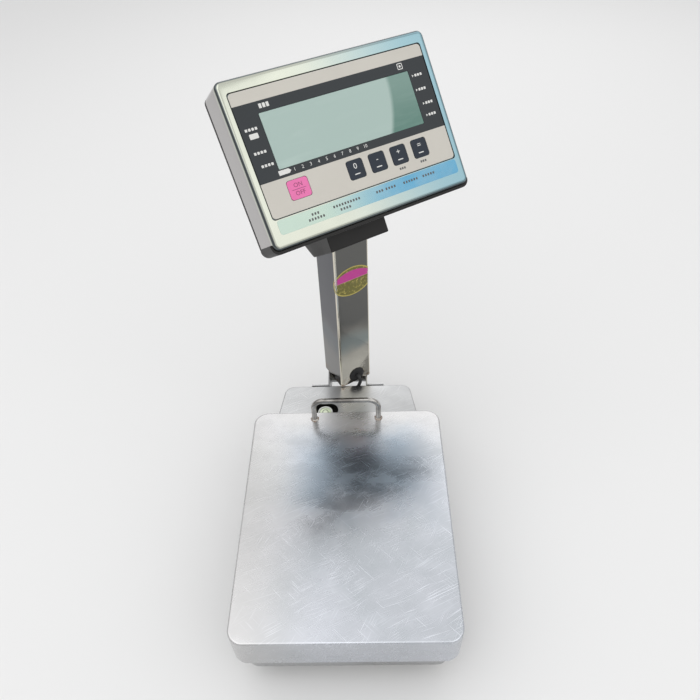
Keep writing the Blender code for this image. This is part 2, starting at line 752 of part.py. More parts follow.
def arm_angle():
    return math.atan2(PAD_Y, PAD_X)


def build_spider():
    """A ribbed X plate that spreads the pan's load to the post."""
    reach = math.hypot(PAD_X, PAD_Y) + PAD_R
    hub = slab("platform_spider", rectangle(SPIDER_HUB, CELL_LENGTH + 8 * MM, 8 * MM), SPIDER_PLATE,
               ALUMINIUM, ROOT, location=(0.0, 0.0, SPIDER_Z))
    for sign in (-1.0, 1.0):
        spin = (0.0, 0.0, sign * arm_angle())
        arm = slab("spider_arm", rectangle(2 * reach, SPIDER_ARM_WIDTH, SPIDER_ARM_WIDTH * 0.45),
                   SPIDER_PLATE, None, ROOT, location=(0.0, 0.0, SPIDER_Z), rotation=spin, cutter=True)
        boolean(hub, arm, "UNION")
        rib_length = 2 * (math.hypot(PAD_X, PAD_Y) - PAD_R - 3 * MM)
        rib = make("spider_rib", box_mesh((rib_length, SPIDER_RIB, SPIDER_RIB_H + SPIDER_PLATE / 2)),
                   None, ROOT, rotation=spin, cutter=True,
                   location=(0.0, 0.0, SPIDER_Z + SPIDER_PLATE + SPIDER_RIB_H / 2 - SPIDER_PLATE / 4))
        boolean(hub, rib, "UNION")


def build_pan_pads():
    low = SPIDER_Z + SPIDER_PLATE + GAP
    height = PAN_TOP_Z - PAN_SHEET - GAP - low
    places = [(x, y) for y in (-PAD_Y, PAD_Y) for x in (-PAD_X, PAD_X)]
    for name, (x, y) in zip(FOOT_NAMES, places):
        turned(
            "pan_pad_" + name,
            solid_turn([
                (PAD_R * 0.85, height), (PAD_R, height - 1.5 * MM), (PAD_R, height - 5 * MM),
                (PAD_NECK_R, height - 7 * MM), (PAD_NECK_R, 2 * MM), (PAD_R * 0.9, 0.0),
            ]),
            BLACK_RUBBER, ROOT, location=(x, y, low), steps=24
        )


def build_column_bracket():
    """A hat section of folded sheet behind the tongue, bolted through its flanges."""
    half = (BRACKET_INSIDE + BRACKET_SHEET) / 2
    front = TONGUE_REAR_Y + GAP + BRACKET_SHEET / 2
    rear = front + BRACKET_DEPTH
    far = half + BRACKET_FLANGE
    path = [(-far, front), (-half, front), (-half, rear), (half, rear), (half, front), (far, front)]
    bm = bmesh.new()
    low = [bm.verts.new((x, y, BRACKET_BOTTOM_Z)) for x, y in path]
    edges = [bm.edges.new(pair) for pair in zip(low, low[1:])]
    raised = bmesh.ops.extrude_edge_only(bm, edges=edges)
    verts = [v for v in raised["geom"] if isinstance(v, bmesh.types.BMVert)]
    bmesh.ops.translate(bm, vec=(0.0, 0.0, BRACKET_TOP_Z - BRACKET_BOTTOM_Z), verts=verts)
    bracket = make("column_bracket", bm, SATIN_STEEL, ROOT)
    sheet = bracket.modifiers.new("sheet", "SOLIDIFY")
    sheet.thickness = BRACKET_SHEET
    sheet.offset = 0.0
    sheet.use_even_offset = True
    for side in (-1.0, 1.0):
        for row, drop in (("upper", 0.0), ("lower", BRACKET_BOLT_PITCH)):
            z = BASE_TOP_Z - BRACKET_BOLT_DROP - drop
            x = side * BRACKET_BOLT_X
            hole = rod("flange_hole", BOLT_R + SLIP, 10 * MM, (x, front, z), "Y", None, ROOT,
                       cutter=True, sides=16)
            boolean(bracket, hole)
            seat = front + BRACKET_SHEET / 2 + GAP
            label = "left" if side < 0 else "right"
            turned(
                f"bracket_bolt_{row}_{label}",
                solid_turn([
                    (BOLT_HEAD_R * 0.55, BOLT_HEAD_H), (BOLT_HEAD_R * 0.9, BOLT_HEAD_H * 0.65),
                    (BOLT_HEAD_R, 0.0), (BOLT_R, 0.0), (BOLT_R, -BOLT_SHANK),
                ]),
                ZINC_STEEL, ROOT, location=(x, seat, z), rotation=(math.radians(-90), 0.0, 0.0), steps=12
            )


def build_swivel():
    """Shelf in the bracket, friction washer and pivot bolt that the column turns on."""
    half = BRACKET_INSIDE / 2 - GAP
    front = TONGUE_REAR_Y + SHELF_FRONT_GAP
    rear = TONGUE_REAR_Y + GAP + BRACKET_DEPTH - GAP
    shelf = box("pivot_shelf", (-half, front, SHELF_TOP_Z - SHELF_THICKNESS), (half, rear, SHELF_TOP_Z),
                ZINC_STEEL, ROOT)
    boolean(shelf, rod("shelf_hole", PIVOT_R + SHAFT_PLAY, THROUGH, (0.0, COLUMN_Y, SHELF_TOP_Z), "Z",
                       None, ROOT, cutter=True))
    washer_low = SHELF_TOP_Z + GAP
    washer_height = COLUMN_BOTTOM_Z - GAP - washer_low
    turned("swivel_washer", bored([(SWIVEL_WASHER_R, washer_height), (SWIVEL_WASHER_R, 0.0)],
                                  PIVOT_R + SLIP),
           BLACK_RUBBER, ROOT, location=(0.0, COLUMN_Y, washer_low))
    foot_top = COLUMN_BOTTOM_Z + COLUMN_FOOT_H
    nut_low = foot_top + GAP
    bolt_top = nut_low + PIVOT_NUT_H + PIVOT_TAIL
    head_top = SHELF_TOP_Z - SHELF_THICKNESS - GAP
    turned(
        "pivot_bolt",
        solid_turn([
            (PIVOT_R * 0.8, bolt_top - head_top), (PIVOT_R, bolt_top - head_top - 1 * MM),
            (PIVOT_R, 0.0), (PIVOT_HEAD_R, 0.0), (PIVOT_HEAD_R, -PIVOT_HEAD_H),
        ]),
        ZINC_STEEL, ROOT, location=(0.0, COLUMN_Y, head_top), steps=24
    )


def build_column():
    """Square polished tube with a foot plate and nut below, and a plug with a hinge barrel above."""
    inner = COLUMN_SIDE - 2 * COLUMN_WALL
    tube_top = TILT_PIN_Z - TUBE_TO_PIN
    length = tube_top - COLUMN_BOTTOM_Z
    tube = slab(
        "column_tube", rectangle(COLUMN_SIDE, COLUMN_SIDE, COLUMN_EDGE_R), length, POLISHED_STEEL,
        COLUMN_AXIS, location=(0.0, 0.0, COLUMN_BOTTOM_Z),
        holes=[rectangle(inner, inner, COLUMN_EDGE_R - COLUMN_WALL)]
    )
    grommet_z = COLUMN_BOTTOM_Z + GROMMET_UP
    port = rod("cable_port", GROMMET_HOLE_R, 12 * MM, (GROMMET_SIDE, -COLUMN_SIDE / 2, grommet_z), "Y",
               None, COLUMN_AXIS, cutter=True)
    boolean(tube, port)
    foot_side = inner - 2 * GAP
    foot = slab("column_foot", rectangle(foot_side, foot_side, COLUMN_WALL), COLUMN_FOOT_H, ZINC_STEEL,
                COLUMN_AXIS, location=(0.0, 0.0, COLUMN_BOTTOM_Z))
    boolean(foot, rod("foot_bore", PIVOT_R + SHAFT_PLAY, THROUGH, (0.0, 0.0, COLUMN_BOTTOM_Z), "Z", None,
                      COLUMN_AXIS, cutter=True))
    nut_low = COLUMN_BOTTOM_Z + COLUMN_FOOT_H + GAP
    nut = rod("pivot_nut", PIVOT_NUT_R, PIVOT_NUT_H, (0.0, 0.0, nut_low + PIVOT_NUT_H / 2), "Z",
              ZINC_STEEL, COLUMN_AXIS, sides=6)
    boolean(nut, rod("nut_bore", PIVOT_R + SLIP, THROUGH, (0.0, 0.0, nut_low), "Z", None, COLUMN_AXIS,
                     cutter=True))
    bore_r = CABLE_R + SLIP
    turned(
        "cable_grommet",
        bored([
            (GROMMET_R * 0.8, GROMMET_FLANGE), (GROMMET_R, GROMMET_FLANGE * 0.5), (GROMMET_R, GAP),
            (GROMMET_HOLE_R - GAP, GAP), (GROMMET_HOLE_R - GAP, -GROMMET_TAIL),
        ], bore_r),
        BLACK_RUBBER, COLUMN_AXIS, location=(GROMMET_SIDE, -COLUMN_SIDE / 2, grommet_z),
        rotation=(math.radians(90), 0.0, 0.0)
    )
    build_column_plug(tube_top, foot_side)


def build_column_plug(tube_top, side):
    """Plug in the top of the tube, carrying the barrel that the tilt pin runs in."""
    plug = slab("column_plug", rectangle(side, side, COLUMN_WALL), PLUG_DEPTH, BLACK_PLASTIC, COLUMN_AXIS,
                location=(0.0, 0.0, tube_top + GAP - PLUG_DEPTH + 0.1 * MM))
    cap = slab("plug_cap", rectangle(COLUMN_SIDE, COLUMN_SIDE, COLUMN_EDGE_R), PLUG_CAP, None, COLUMN_AXIS,
               location=(0.0, 0.0, tube_top + GAP), cutter=True)
    boolean(plug, cap, "UNION")
    web = box("barrel_web", (-side * 0.42, -BARREL_WEB / 2, tube_top + GAP + PLUG_CAP / 2),
              (side * 0.42, BARREL_WEB / 2, TILT_PIN_Z), None, COLUMN_AXIS, cutter=True)
    boolean(plug, web, "UNION")
    barrel_length = COLUMN_SIDE + 2 * (YOKE_SIDE_PLAY - 2 * GAP)
    barrel = rod("barrel", BARREL_R, barrel_length, (0.0, 0.0, TILT_PIN_Z), "X", None, COLUMN_AXIS,
                 cutter=True)
    boolean(plug, barrel, "UNION")
    bore = rod("barrel_bore", PIN_R + SHAFT_PLAY, barrel_length + 10 * MM, (0.0, 0.0, TILT_PIN_Z), "X", None,
               COLUMN_AXIS, cutter=True, sides=24)
    boolean(plug, bore)


def build_cable():
    """Gland on the tongue's rear wall, the free loop up to the grommet, and the run inside the column."""
    turned(
        "cable_gland",
        bored([
            (GLAND_DOME_R * 0.75, GLAND_LENGTH), (GLAND_DOME_R, GLAND_LENGTH - 3 * MM),
            (GLAND_DOME_R, GLAND_LENGTH * 0.5), (GLAND_NUT_R, GLAND_LENGTH * 0.5), (GLAND_NUT_R, GAP),
            (GLAND_TAIL_R, GAP), (GLAND_TAIL_R, -GLAND_TAIL),
        ], CABLE_R + SLIP),
        BLACK_PLASTIC, ROOT, location=(GLAND_X, TONGUE_REAR_Y, GLAND_Z),
        rotation=(math.radians(-90), 0.0, 0.0), steps=24
    )
    grommet_z = COLUMN_BOTTOM_Z + GROMMET_UP
    turn = Matrix.Rotation(COLUMN_TURN, 3, "Z")
    face = -COLUMN_SIDE / 2

    def by_column(x, y, z):
        return turn @ Vector((x, y, z)) + Vector((0.0, COLUMN_Y, 0.0))

    mouth_y = TONGUE_REAR_Y + GLAND_LENGTH
    knots = [
        Vector((GLAND_X, TONGUE_REAR_Y + 2 * MM, GLAND_Z)),
        Vector((GLAND_X, mouth_y, GLAND_Z)),
        Vector((GLAND_X, mouth_y + 9 * MM, GLAND_Z + 2 * MM)),
        Vector((GLAND_X + 0.3 * MM, mouth_y + 13.5 * MM, GLAND_Z + 9 * MM)),
        Vector((GLAND_X + 1.5 * MM, mouth_y + 9.5 * MM, GLAND_Z + 18 * MM)),
        Vector((GLAND_X + 3 * MM, TONGUE_REAR_Y + 10 * MM, GLAND_Z + 29 * MM)),
        Vector((GLAND_X + 4.6 * MM, TONGUE_REAR_Y + 4.4 * MM, BASE_TOP_Z - 4 * MM)),
        by_column(GROMMET_SIDE + 1.5 * MM, face - 8 * MM, grommet_z - 9 * MM),
        by_column(GROMMET_SIDE + 0.4 * MM, face - 8.6 * MM, grommet_z - 2.5 * MM),
        by_column(GROMMET_SIDE, face - 5 * MM, grommet_z + 0.6 * MM),
        by_column(GROMMET_SIDE, face - 2.5 * MM, grommet_z),
    ]
    loop = smooth_line(knots, 3) + [by_column(GROMMET_SIDE, face - 0.5 * MM, grommet_z)]
    wire("signal_cable_loop", loop, CABLE_R, BLACK_RUBBER, ROOT)
    top = TILT_PIN_Z - TUBE_TO_PIN - PLUG_DEPTH - 2 * GAP
    inner = [
        Vector((GROMMET_SIDE, face + 3 * MM, grommet_z)),
        Vector((GROMMET_SIDE, face + 6 * MM, grommet_z + 1.5 * MM)),
        Vector((GROMMET_SIDE, face + 9.5 * MM, grommet_z + 6 * MM)),
        Vector((GROMMET_SIDE, face + CABLE_RUN_IN - 0.5 * MM, grommet_z + 15 * MM)),
        Vector((GROMMET_SIDE, face + CABLE_RUN_IN, grommet_z + 30 * MM)),
    ]
    route = [Vector((GROMMET_SIDE, face - 0.5 * MM + GAP, grommet_z))] + smooth_line(inner, 3)
    last_z = inner[-1].z
    runs = 8
    for step in range(1, runs + 1):
        z = last_z + (top - last_z) * step / runs
        route.append(Vector((GROMMET_SIDE, face + CABLE_RUN_IN, z)))
    wire("signal_cable", route, CABLE_R, BLACK_RUBBER, COLUMN_AXIS)


def build_yoke():
    """Black wedge behind the head: a hollow block whose cheeks straddle the column's barrel."""
    back_of_case = -(FACE_FORWARD - COVER_DEPTH - GASKET_THICKNESS - 2 * GAP - CASE_DEPTH) + GAP
    inner_half = COLUMN_SIDE / 2 + YOKE_SIDE_PLAY
    half = inner_half + YOKE_WALL
    front = -YOKE_FRONT
    wall_y = front + YOKE_FRONT_WALL
    lip = -YOKE_DROP
    profile = outline([
        (back_of_case, -YOKE_ROOT_LOW, 0.0),
        (front - 1 * MM, -YOKE_ROOT_LOW - 3 * MM, 3 * MM),
        (front, lip, 2 * MM),
        (YOKE_REAR - YOKE_CHAMFER, lip, 6 * MM),
        (YOKE_REAR, lip + YOKE_CHAMFER, 8 * MM),
        (YOKE_REAR, YOKE_REAR_TOP, 6 * MM),
        (back_of_case, YOKE_ROOT_TOP, 0.0),
    ], steps=4)
    stand = (math.radians(90), 0.0, math.radians(90))
    yoke = slab("head_yoke", profile, 2 * half, BLACK_PLASTIC, HEAD_AXIS, location=(-half, 0.0, 0.0),
                rotation=stand)
    soften(yoke, 1.2 * MM, segments=2, angle=60.0)
    room_top = BARREL_R + 8 * MM
    room_rear = YOKE_REAR - 5 * MM
    room_sill = YOKE_REAR_TOP - BARREL_R
    beyond = YOKE_REAR + 15 * MM
    room = outline([
        (wall_y, lip - 6 * MM, 0.0),
        (beyond, lip - 6 * MM, 0.0),
        (beyond, room_sill, 0.0),
        (room_rear, room_sill, 2 * MM),
        (2 * BARREL_R, room_top, 3 * MM),
        (wall_y, room_top, 3 * MM),
    ], steps=3)
    cavity = slab("yoke_room", room, 2 * inner_half, None, HEAD_AXIS, location=(-inner_half, 0.0, 0.0),
                  rotation=stand, cutter=True)
    boolean(yoke, cavity)
    bore = rod("yoke_bore", PIN_R + SHAFT_PLAY, 2 * half + 10 * MM, (0.0, 0.0, 0.0), "X", None, HEAD_AXIS,
               cutter=True, sides=24)
    boolean(yoke, bore)
    shank = 2 * (half + GAP)
    turned(
        "tilt_pin",
        solid_turn([
            (PIN_HEAD_R * 0.8, shank + PIN_HEAD_H), (PIN_HEAD_R, shank + PIN_HEAD_H * 0.6),
            (PIN_HEAD_R, shank), (PIN_R, shank), (PIN_R, 0.0), (PIN_HEAD_R, 0.0),
            (PIN_HEAD_R, -PIN_HEAD_H * 0.6), (PIN_HEAD_R * 0.8, -PIN_HEAD_H),
        ]),
        ZINC_STEEL, HEAD_AXIS, location=(-shank / 2, 0.0, 0.0), rotation=(0.0, math.radians(90), 0.0),
        steps=24
    )


def sink_panel_recess(bm):
    """Presses a shallow pocket for the panel into the cover's front sheet."""
    left = -(PANEL_WIDTH / 2 + PANEL_PLAY)
    right = -left
    low = PANEL_UP - PANEL_HEIGHT / 2 - PANEL_PLAY
    high = PANEL_UP + PANEL_HEIGHT / 2 + PANEL_PLAY
    for point, normal in (
        ((left, 0, 0), (1, 0, 0)), ((right, 0, 0), (1, 0, 0)), ((0, low, 0), (0, 1, 0)), ((0, high, 0), (0, 1, 0)),
    ):
        front = [f for f in bm.faces if f.normal.z > 0.99 and all(abs(v.co.z) < 1e-7 for v in f.verts)]
        geom = front + list({e for f in front for e in f.edges}) + list({v for f in front for v in f.verts})
        bmesh.ops.bisect_plane(bm, geom=geom, dist=1e-7, plane_co=point, plane_no=normal)
    floor = [
        f for f in bm.faces
        if f.normal.z > 0.99
        and left < f.calc_center_median().x < right
        and low < f.calc_center_median().y < high
    ]
    bmesh.ops.inset_region(bm, faces=floor, thickness=RECESS_SLOPE, use_even_offset=True)
    bmesh.ops.translate(bm, vec=(0.0, 0.0, -RECESS_DEPTH), verts=list({v for f in floor for v in f.verts}))


def build_front_cover():
    cover = rounded_shell(
        "front_cover", (HEAD_WIDTH, HEAD_HEIGHT, COVER_DEPTH), HEAD_CORNER_R, HEAD_EDGE_R, COVER_SHEET,
        POLISHED_STEEL, FACE, shape_front=sink_panel_recess
    )
    width = WINDOW_WIDTH - 2 * APERTURE_MARGIN
    height = WINDOW_HEIGHT - 2 * APERTURE_MARGIN
    aperture = slab("lcd_aperture", rectangle(width, height, 2 * MM, (0.0, WINDOW_UP)), 12 * MM, None,
                    FACE, location=(0.0, 0.0, -8 * MM), cutter=True)
    boolean(cover, aperture)


def key_places():
    """Name, centre x and width of each key, left to right."""
    row = [("key_power", POWER_KEY_X, POWER_KEY_WIDTH)]
    for index in range(4):
        row.append((f"key_{index + 1}", KEY_FIRST_X + index * KEY_PITCH, KEY_WIDTH))
    return row


def build_panel():
    """Membrane panel with its window, and the keys that sit in its openings."""
    width = PANEL_WIDTH - 2 * RECESS_SLOPE
    height = PANEL_HEIGHT - 2 * RECESS_SLOPE
    back = -RECESS_DEPTH + GAP
    window = rectangle(WINDOW_WIDTH, WINDOW_HEIGHT, WINDOW_CORNER_R, (0.0, WINDOW_UP))
    holes = [window]
    for _, x, key_width in key_places():
        holes.append(rectangle(key_width + 2 * KEY_PLAY, KEY_HEIGHT + 2 * KEY_PLAY, KEY_CORNER_R,
                               (x, KEY_ROW_UP)))
    slab("membrane_panel", rectangle(width, height, PANEL_CORNER_R, (0.0, PANEL_UP)), PANEL_SHEET,
         PANEL_FILM, FACE, location=(0.0, 0.0, back), holes=holes)
    slab("lcd_window", rectangle(WINDOW_WIDTH - 2 * GAP, WINDOW_HEIGHT - 2 * GAP, WINDOW_CORNER_R,
                                 (0.0, WINDOW_UP)),
         PANEL_SHEET, LCD_GREEN, FACE, location=(0.0, 0.0, back))
    key_back = KEY_PROUD - KEY_SHEET + back + PANEL_SHEET
    for name, x, key_width in key_places():
        paint = KEY_PINK if name == "key_power" else KEY_DARK
        slab(name, rectangle(key_width, KEY_HEIGHT, KEY_CORNER_R), KEY_SHEET, paint, FACE,
             location=(x, KEY_ROW_UP, key_back))


def build_head_inside():
    """LCD module and circuit board, stacked behind the cover's aperture."""
    lcd_front = -RECESS_DEPTH - COVER_SHEET - GAP
    lcd = slab("lcd_module", rectangle(WINDOW_WIDTH + 2 * LCD_MARGIN, WINDOW_HEIGHT + 2 * LCD_MARGIN, 2 * MM),
               LCD_THICKNESS, BLACK_PLASTIC, FACE, location=(0.0, WINDOW_UP, lcd_front - LCD_THICKNESS))
    soften(lcd, 0.6 * MM, segments=1)
    board_front = lcd_front - LCD_THICKNESS - GAP
    slab("circuit_board", rectangle(BOARD_WIDTH, BOARD_HEIGHT, 3 * MM), BOARD_SHEET, BOARD_GREEN, FACE,
         location=(0.0, PANEL_UP, board_front - BOARD_SHEET))


def build_gasket():
    inner_w = HEAD_WIDTH - 2 * GASKET_WIDTH
    inner_h = HEAD_HEIGHT - 2 * GASKET_WIDTH
    slab("case_gasket", rectangle(HEAD_WIDTH - 0.6 * MM, HEAD_HEIGHT - 0.6 * MM, HEAD_CORNER_R),
         GASKET_THICKNESS, BLACK_RUBBER, FACE,
         location=(0.0, 0.0, -COVER_DEPTH - GAP - GASKET_THICKNESS),
         holes=[rectangle(inner_w, inner_h, HEAD_CORNER_R - GASKET_WIDTH)])


def case_front():
    """Front face of the rear case, in the face's axes."""
    return -COVER_DEPTH - 2 * GAP - GASKET_THICKNESS


def battery_box():
    """Half width, half height and depth of the battery pocket inside its walls."""
    return (CELL_D_LENGTH + 2 * CELL_D_CAP_H + 2 * BATTERY_PLAY, CELL_D_R + BATTERY_PLAY, 2 * CELL_D_R + BATTERY_PLAY)


def screw_places():
    x = HEAD_WIDTH / 2 - SCREW_INSET
    y = HEAD_HEIGHT / 2 - SCREW_INSET
    return [("upper_left", -x, y), ("upper_right", x, y), ("lower_left", -x, -y), ("lower_right", x, -y)]


def build_rear_case():
    """Moulded back: a shallow tray with an inner rim, screw posts, board posts and a battery pocket."""
    front = case_front()
    back = front - CASE_DEPTH
    case = rounded_shell(
        "rear_case", (HEAD_WIDTH, HEAD_HEIGHT, CASE_DEPTH), HEAD_CORNER_R, 2.5 * MM, CASE_WALL,
        BLACK_PLASTIC, FACE, location=(0.0, 0.0, back), rotation=(0.0, math.radians(180), 0.0)
    )
    rim_w = HEAD_WIDTH - 2 * GASKET_WIDTH - 2 * MM
    rim_h = HEAD_HEIGHT - 2 * GASKET_WIDTH - 2 * MM
    rim = slab(
        "case_rim", rectangle(rim_w, rim_h, 3 * MM), CASE_RIM_DEPTH, None, FACE, cutter=True,
        location=(0.0, 0.0, back + CASE_WALL / 2),
        holes=[rectangle(rim_w - 2 * CASE_RIM_WALL, rim_h - 2 * CASE_RIM_WALL, 1 * MM)]
    )
    boolean(case, rim, "UNION")
    half_w, half_h, depth = battery_box()
    pocket = box("battery_walls",
                 (-half_w - BATTERY_WALL, BATTERY_UP - half_h - BATTERY_WALL, back + CASE_WALL / 2),
                 (half_w + BATTERY_WALL, BATTERY_UP + half_h + BATTERY_WALL, back + depth + BATTERY_WALL),
                 None, FACE, cutter=True)
    boolean(case, pocket, "UNION")
    for name, x, y in screw_places():
        post = rod("screw_post", SCREW_POST_R, SCREW_LENGTH + 3 * MM,
                   (x, y, back + (SCREW_LENGTH + 3 * MM) / 2 + CASE_WALL / 2), "Z", None, FACE, cutter=True,
                   sides=16)
        boolean(case, post, "UNION")
    board_back = -RECESS_DEPTH - COVER_SHEET - LCD_THICKNESS - BOARD_SHEET - 2 * GAP
    for side_x in (-1.0, 1.0):
        for side_y in (-1.0, 1.0):
            x = side_x * (BOARD_WIDTH / 2 - BOARD_POST_INSET)
            y = PANEL_UP + side_y * (BOARD_HEIGHT / 2 - BOARD_POST_INSET)
            low = back + CASE_WALL / 2
            high = board_back - GAP
            post = rod("board_post", BOARD_POST_R, high - low, (x, y, (high + low) / 2), "Z", None, FACE,
                       cutter=True, sides=16)
            boolean(case, post, "UNION")
    room = box("battery_room", (-half_w, BATTERY_UP - half_h, back - 5 * MM),
               (half_w, BATTERY_UP + half_h, back + depth), None, FACE, cutter=True)
    boolean(case, room)
    for name, x, y in screw_places():
        bore = rod("screw_bore", SCREW_R + SLIP, 2 * SCREW_LENGTH + 2 * GAP, (x, y, back), "Z", None, FACE,
                   cutter=True, sides=16)
        boolean(case, bore)
        turned(
            "case_screw_" + name,
            solid_turn([
                (SCREW_HEAD_R * 0.6, SCREW_HEAD_H), (SCREW_HEAD_R, SCREW_HEAD_H * 0.4), (SCREW_HEAD_R, 0.0),
                (SCREW_R, 0.0), (SCREW_R, -SCREW_LENGTH + GAP),
            ]),
            ZINC_STEEL, FACE, location=(x, y, back - GAP), rotation=(math.radians(180), 0.0, 0.0), steps=12
        )


def build_batteries():
    """Two round cells end to end in the pocket, and the cover that seals it."""
    back = case_front() - CASE_DEPTH
    half_w, half_h, depth = battery_box()
    middle_z = back + depth - GAP - CELL_D_R
    for name, side in (("battery_left", -1.0), ("battery_right", 1.0)):
        start = side * (CELL_D_LENGTH / 2 + CELL_D_CAP_H / 2 + GAP) - CELL_D_LENGTH / 2
        turned(
            name,
            solid_turn([
                (CELL_D_CAP_R, CELL_D_LENGTH + CELL_D_CAP_H - GAP), (CELL_D_CAP_R, CELL_D_LENGTH),
                (CELL_D_R - 1 * MM, CELL_D_LENGTH), (CELL_D_R, CELL_D_LENGTH - 1 * MM),
                (CELL_D_R, 1 * MM), (CELL_D_R - 1 * MM, 0.0),
            ]),
            BATTERY_GREY, FACE, location=(start, BATTERY_UP, middle_z),
            rotation=(0.0, math.radians(90), 0.0)
        )
    cover = slab(
        "battery_cover",
        rectangle(2 * (half_w + BATTERY_COVER_MARGIN), 2 * (half_h + BATTERY_COVER_MARGIN), 5 * MM),
        BATTERY_COVER_SHEET, BLACK_PLASTIC, FACE, location=(0.0, BATTERY_UP, back - GAP - BATTERY_COVER_SHEET)
    )
    soften(cover, 1 * MM, segments=2, angle=60.0)


def build_lower_rail():
    """Black moulded rail under the head, turned up at each end over the cover's lower corners."""
    half = HEAD_WIDTH / 2 + GAP
    outer = half + RAIL_SIDE
    top = -HEAD_HEIGHT / 2 - GAP
    low = top - RAIL_THICKNESS
    rise = -HEAD_HEIGHT / 2 + RAIL_RISE
    corner = HEAD_CORNER_R + GAP
    profile = outline([
        (-outer, low, corner + RAIL_SIDE), (outer, low, corner + RAIL_SIDE), (outer, rise, 0.0),
        (half, rise, 0.0), (half, top, corner), (-half, top, corner), (-half, rise, 0.0), (-outer, rise, 0.0),
    ])
    front = -RAIL_SETBACK
    rail = slab("lower_rail", profile, RAIL_DEPTH, BLACK_PLASTIC, FACE, location=(0.0, 0.0, front - RAIL_DEPTH))
    soften(rail, RAIL_EDGE_R, segments=2, angle=60.0)
    reach = 2 * (outer + 5 * MM)
    for side, z in ((1.0, front), (-1.0, front - RAIL_DEPTH)):
        block = make("arch_block", box_mesh((reach, 2 * RAIL_ARCH_R, 2 * RAIL_ARCH_R)), None, FACE,
                     location=(0.0, rise, z), cutter=True)
        round_off = rod("arch_round", RAIL_ARCH_R, reach + 2 * MM,
                        (0.0, rise - RAIL_ARCH_R, z - side * RAIL_ARCH_R), "X", None, FACE, cutter=True)
        boolean(block, round_off)
        boolean(rail, block)


def settle_origin():
    """Moves the whole model so that the origin is the centre of the underside of its box."""
    bpy.context.view_layer.update()
    graph = bpy.context.evaluated_depsgraph_get()
    corners = []
    for piece in PARTS.objects:
        if piece.type == "EMPTY":
            continue
        seen = piece.evaluated_get(graph)
        mesh = seen.to_mesh()
        corners.extend(seen.matrix_world @ vertex.co for vertex in mesh.vertices)
        seen.to_mesh_clear()
    low = [min(corner[axis] for corner in corners) for axis in range(3)]
    high = [max(corner[axis] for corner in corners) for axis in range(3)]
    ROOT.location = (-(low[0] + high[0]) / 2, -(low[1] + high[1]) / 2, -low[2])


def main():
    build_pan()
    build_handle()
    build_base_housing()
    build_bottom_plate()
    build_feet()
    build_level()
    build_load_cell()
    build_spider()
    build_pan_pads()
    build_column_bracket()
    build_swivel()
    build_column()
    build_cable()
    build_yoke()
    build_front_cover()
    build_panel()
    build_head_inside()
    build_gasket()
    build_rear_case()
    build_batteries()
    build_lower_rail()
    settle_origin()


main()
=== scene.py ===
"""Dresses the waterproof platform scale: a stainless pan on its base, a swivel column and a tilting head.

Every piece is built in its own coordinates, which are kept in the attribute "own" for its material,
and then put in its place in the scale's frame.
"""

import functools
import json
import math

import bmesh
import bpy
from bpy.props import FloatProperty, FloatVectorProperty, IntProperty, PointerProperty
from mathutils import Matrix, Vector


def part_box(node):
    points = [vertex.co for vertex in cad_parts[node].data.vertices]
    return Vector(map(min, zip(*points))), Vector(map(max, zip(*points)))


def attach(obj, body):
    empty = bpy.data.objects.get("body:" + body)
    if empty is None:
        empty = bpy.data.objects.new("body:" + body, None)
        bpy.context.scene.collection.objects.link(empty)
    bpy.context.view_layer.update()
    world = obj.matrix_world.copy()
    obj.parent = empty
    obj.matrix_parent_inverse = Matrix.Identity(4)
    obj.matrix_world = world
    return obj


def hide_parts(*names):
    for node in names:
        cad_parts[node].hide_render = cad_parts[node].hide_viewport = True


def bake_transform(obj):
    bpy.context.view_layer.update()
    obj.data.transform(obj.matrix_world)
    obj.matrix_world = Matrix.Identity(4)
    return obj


bl_info = {
    "name": "Waterproof platform scale",
    "version": (1, 0, 0),
    "blender": (4, 5, 0),
    "location": "View3D > Sidebar > Scale",
    "description": "Builds the detailed pieces of a waterproof platform scale over its frame",
    "category": "Object",
}

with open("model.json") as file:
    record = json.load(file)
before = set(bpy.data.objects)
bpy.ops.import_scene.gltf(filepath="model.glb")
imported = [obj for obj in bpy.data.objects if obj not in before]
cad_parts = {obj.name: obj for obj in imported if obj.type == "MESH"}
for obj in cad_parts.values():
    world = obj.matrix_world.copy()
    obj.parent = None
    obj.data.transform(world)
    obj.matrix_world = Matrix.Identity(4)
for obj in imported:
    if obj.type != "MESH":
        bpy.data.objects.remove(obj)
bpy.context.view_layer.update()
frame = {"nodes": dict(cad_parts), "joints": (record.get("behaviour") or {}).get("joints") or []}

MM = 0.001
ORIGIN = (0.0, 0.0, 0.0)
OUTLINE_GAP, TEXT_GAP = 0.000005, 0.000002  # points nearer than this are merged
SAME_PLACE = 1e-7


def middle(node):
    low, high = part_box(node)
    return (Vector(low) + Vector(high)) / 2


def extent(node):
    low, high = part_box(node)
    return Vector(high) - Vector(low)


JOINTS = {joint["name"]: joint for joint in frame["joints"]}
PAN_SIZE = extent("pan")
PAN_MIDDLE = middle("pan")
PAN_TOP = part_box("pan")[1][2]
TONGUE_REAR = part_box("base_housing")[1][1]
FLOOR_OF_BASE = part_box("base_housing")[0][2]
TOP_OF_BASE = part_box("base_housing")[1][2]
SWIVEL = Vector(JOINTS["column_swivel"]["pos_m"])
TILT = Vector(JOINTS["head_tilt"]["pos_m"])
TILT_AXIS = Vector(JOINTS["head_tilt"]["axis"])
TURN = math.atan2(TILT_AXIS.y, TILT_AXIS.x)
LEAN = math.radians(37.4)

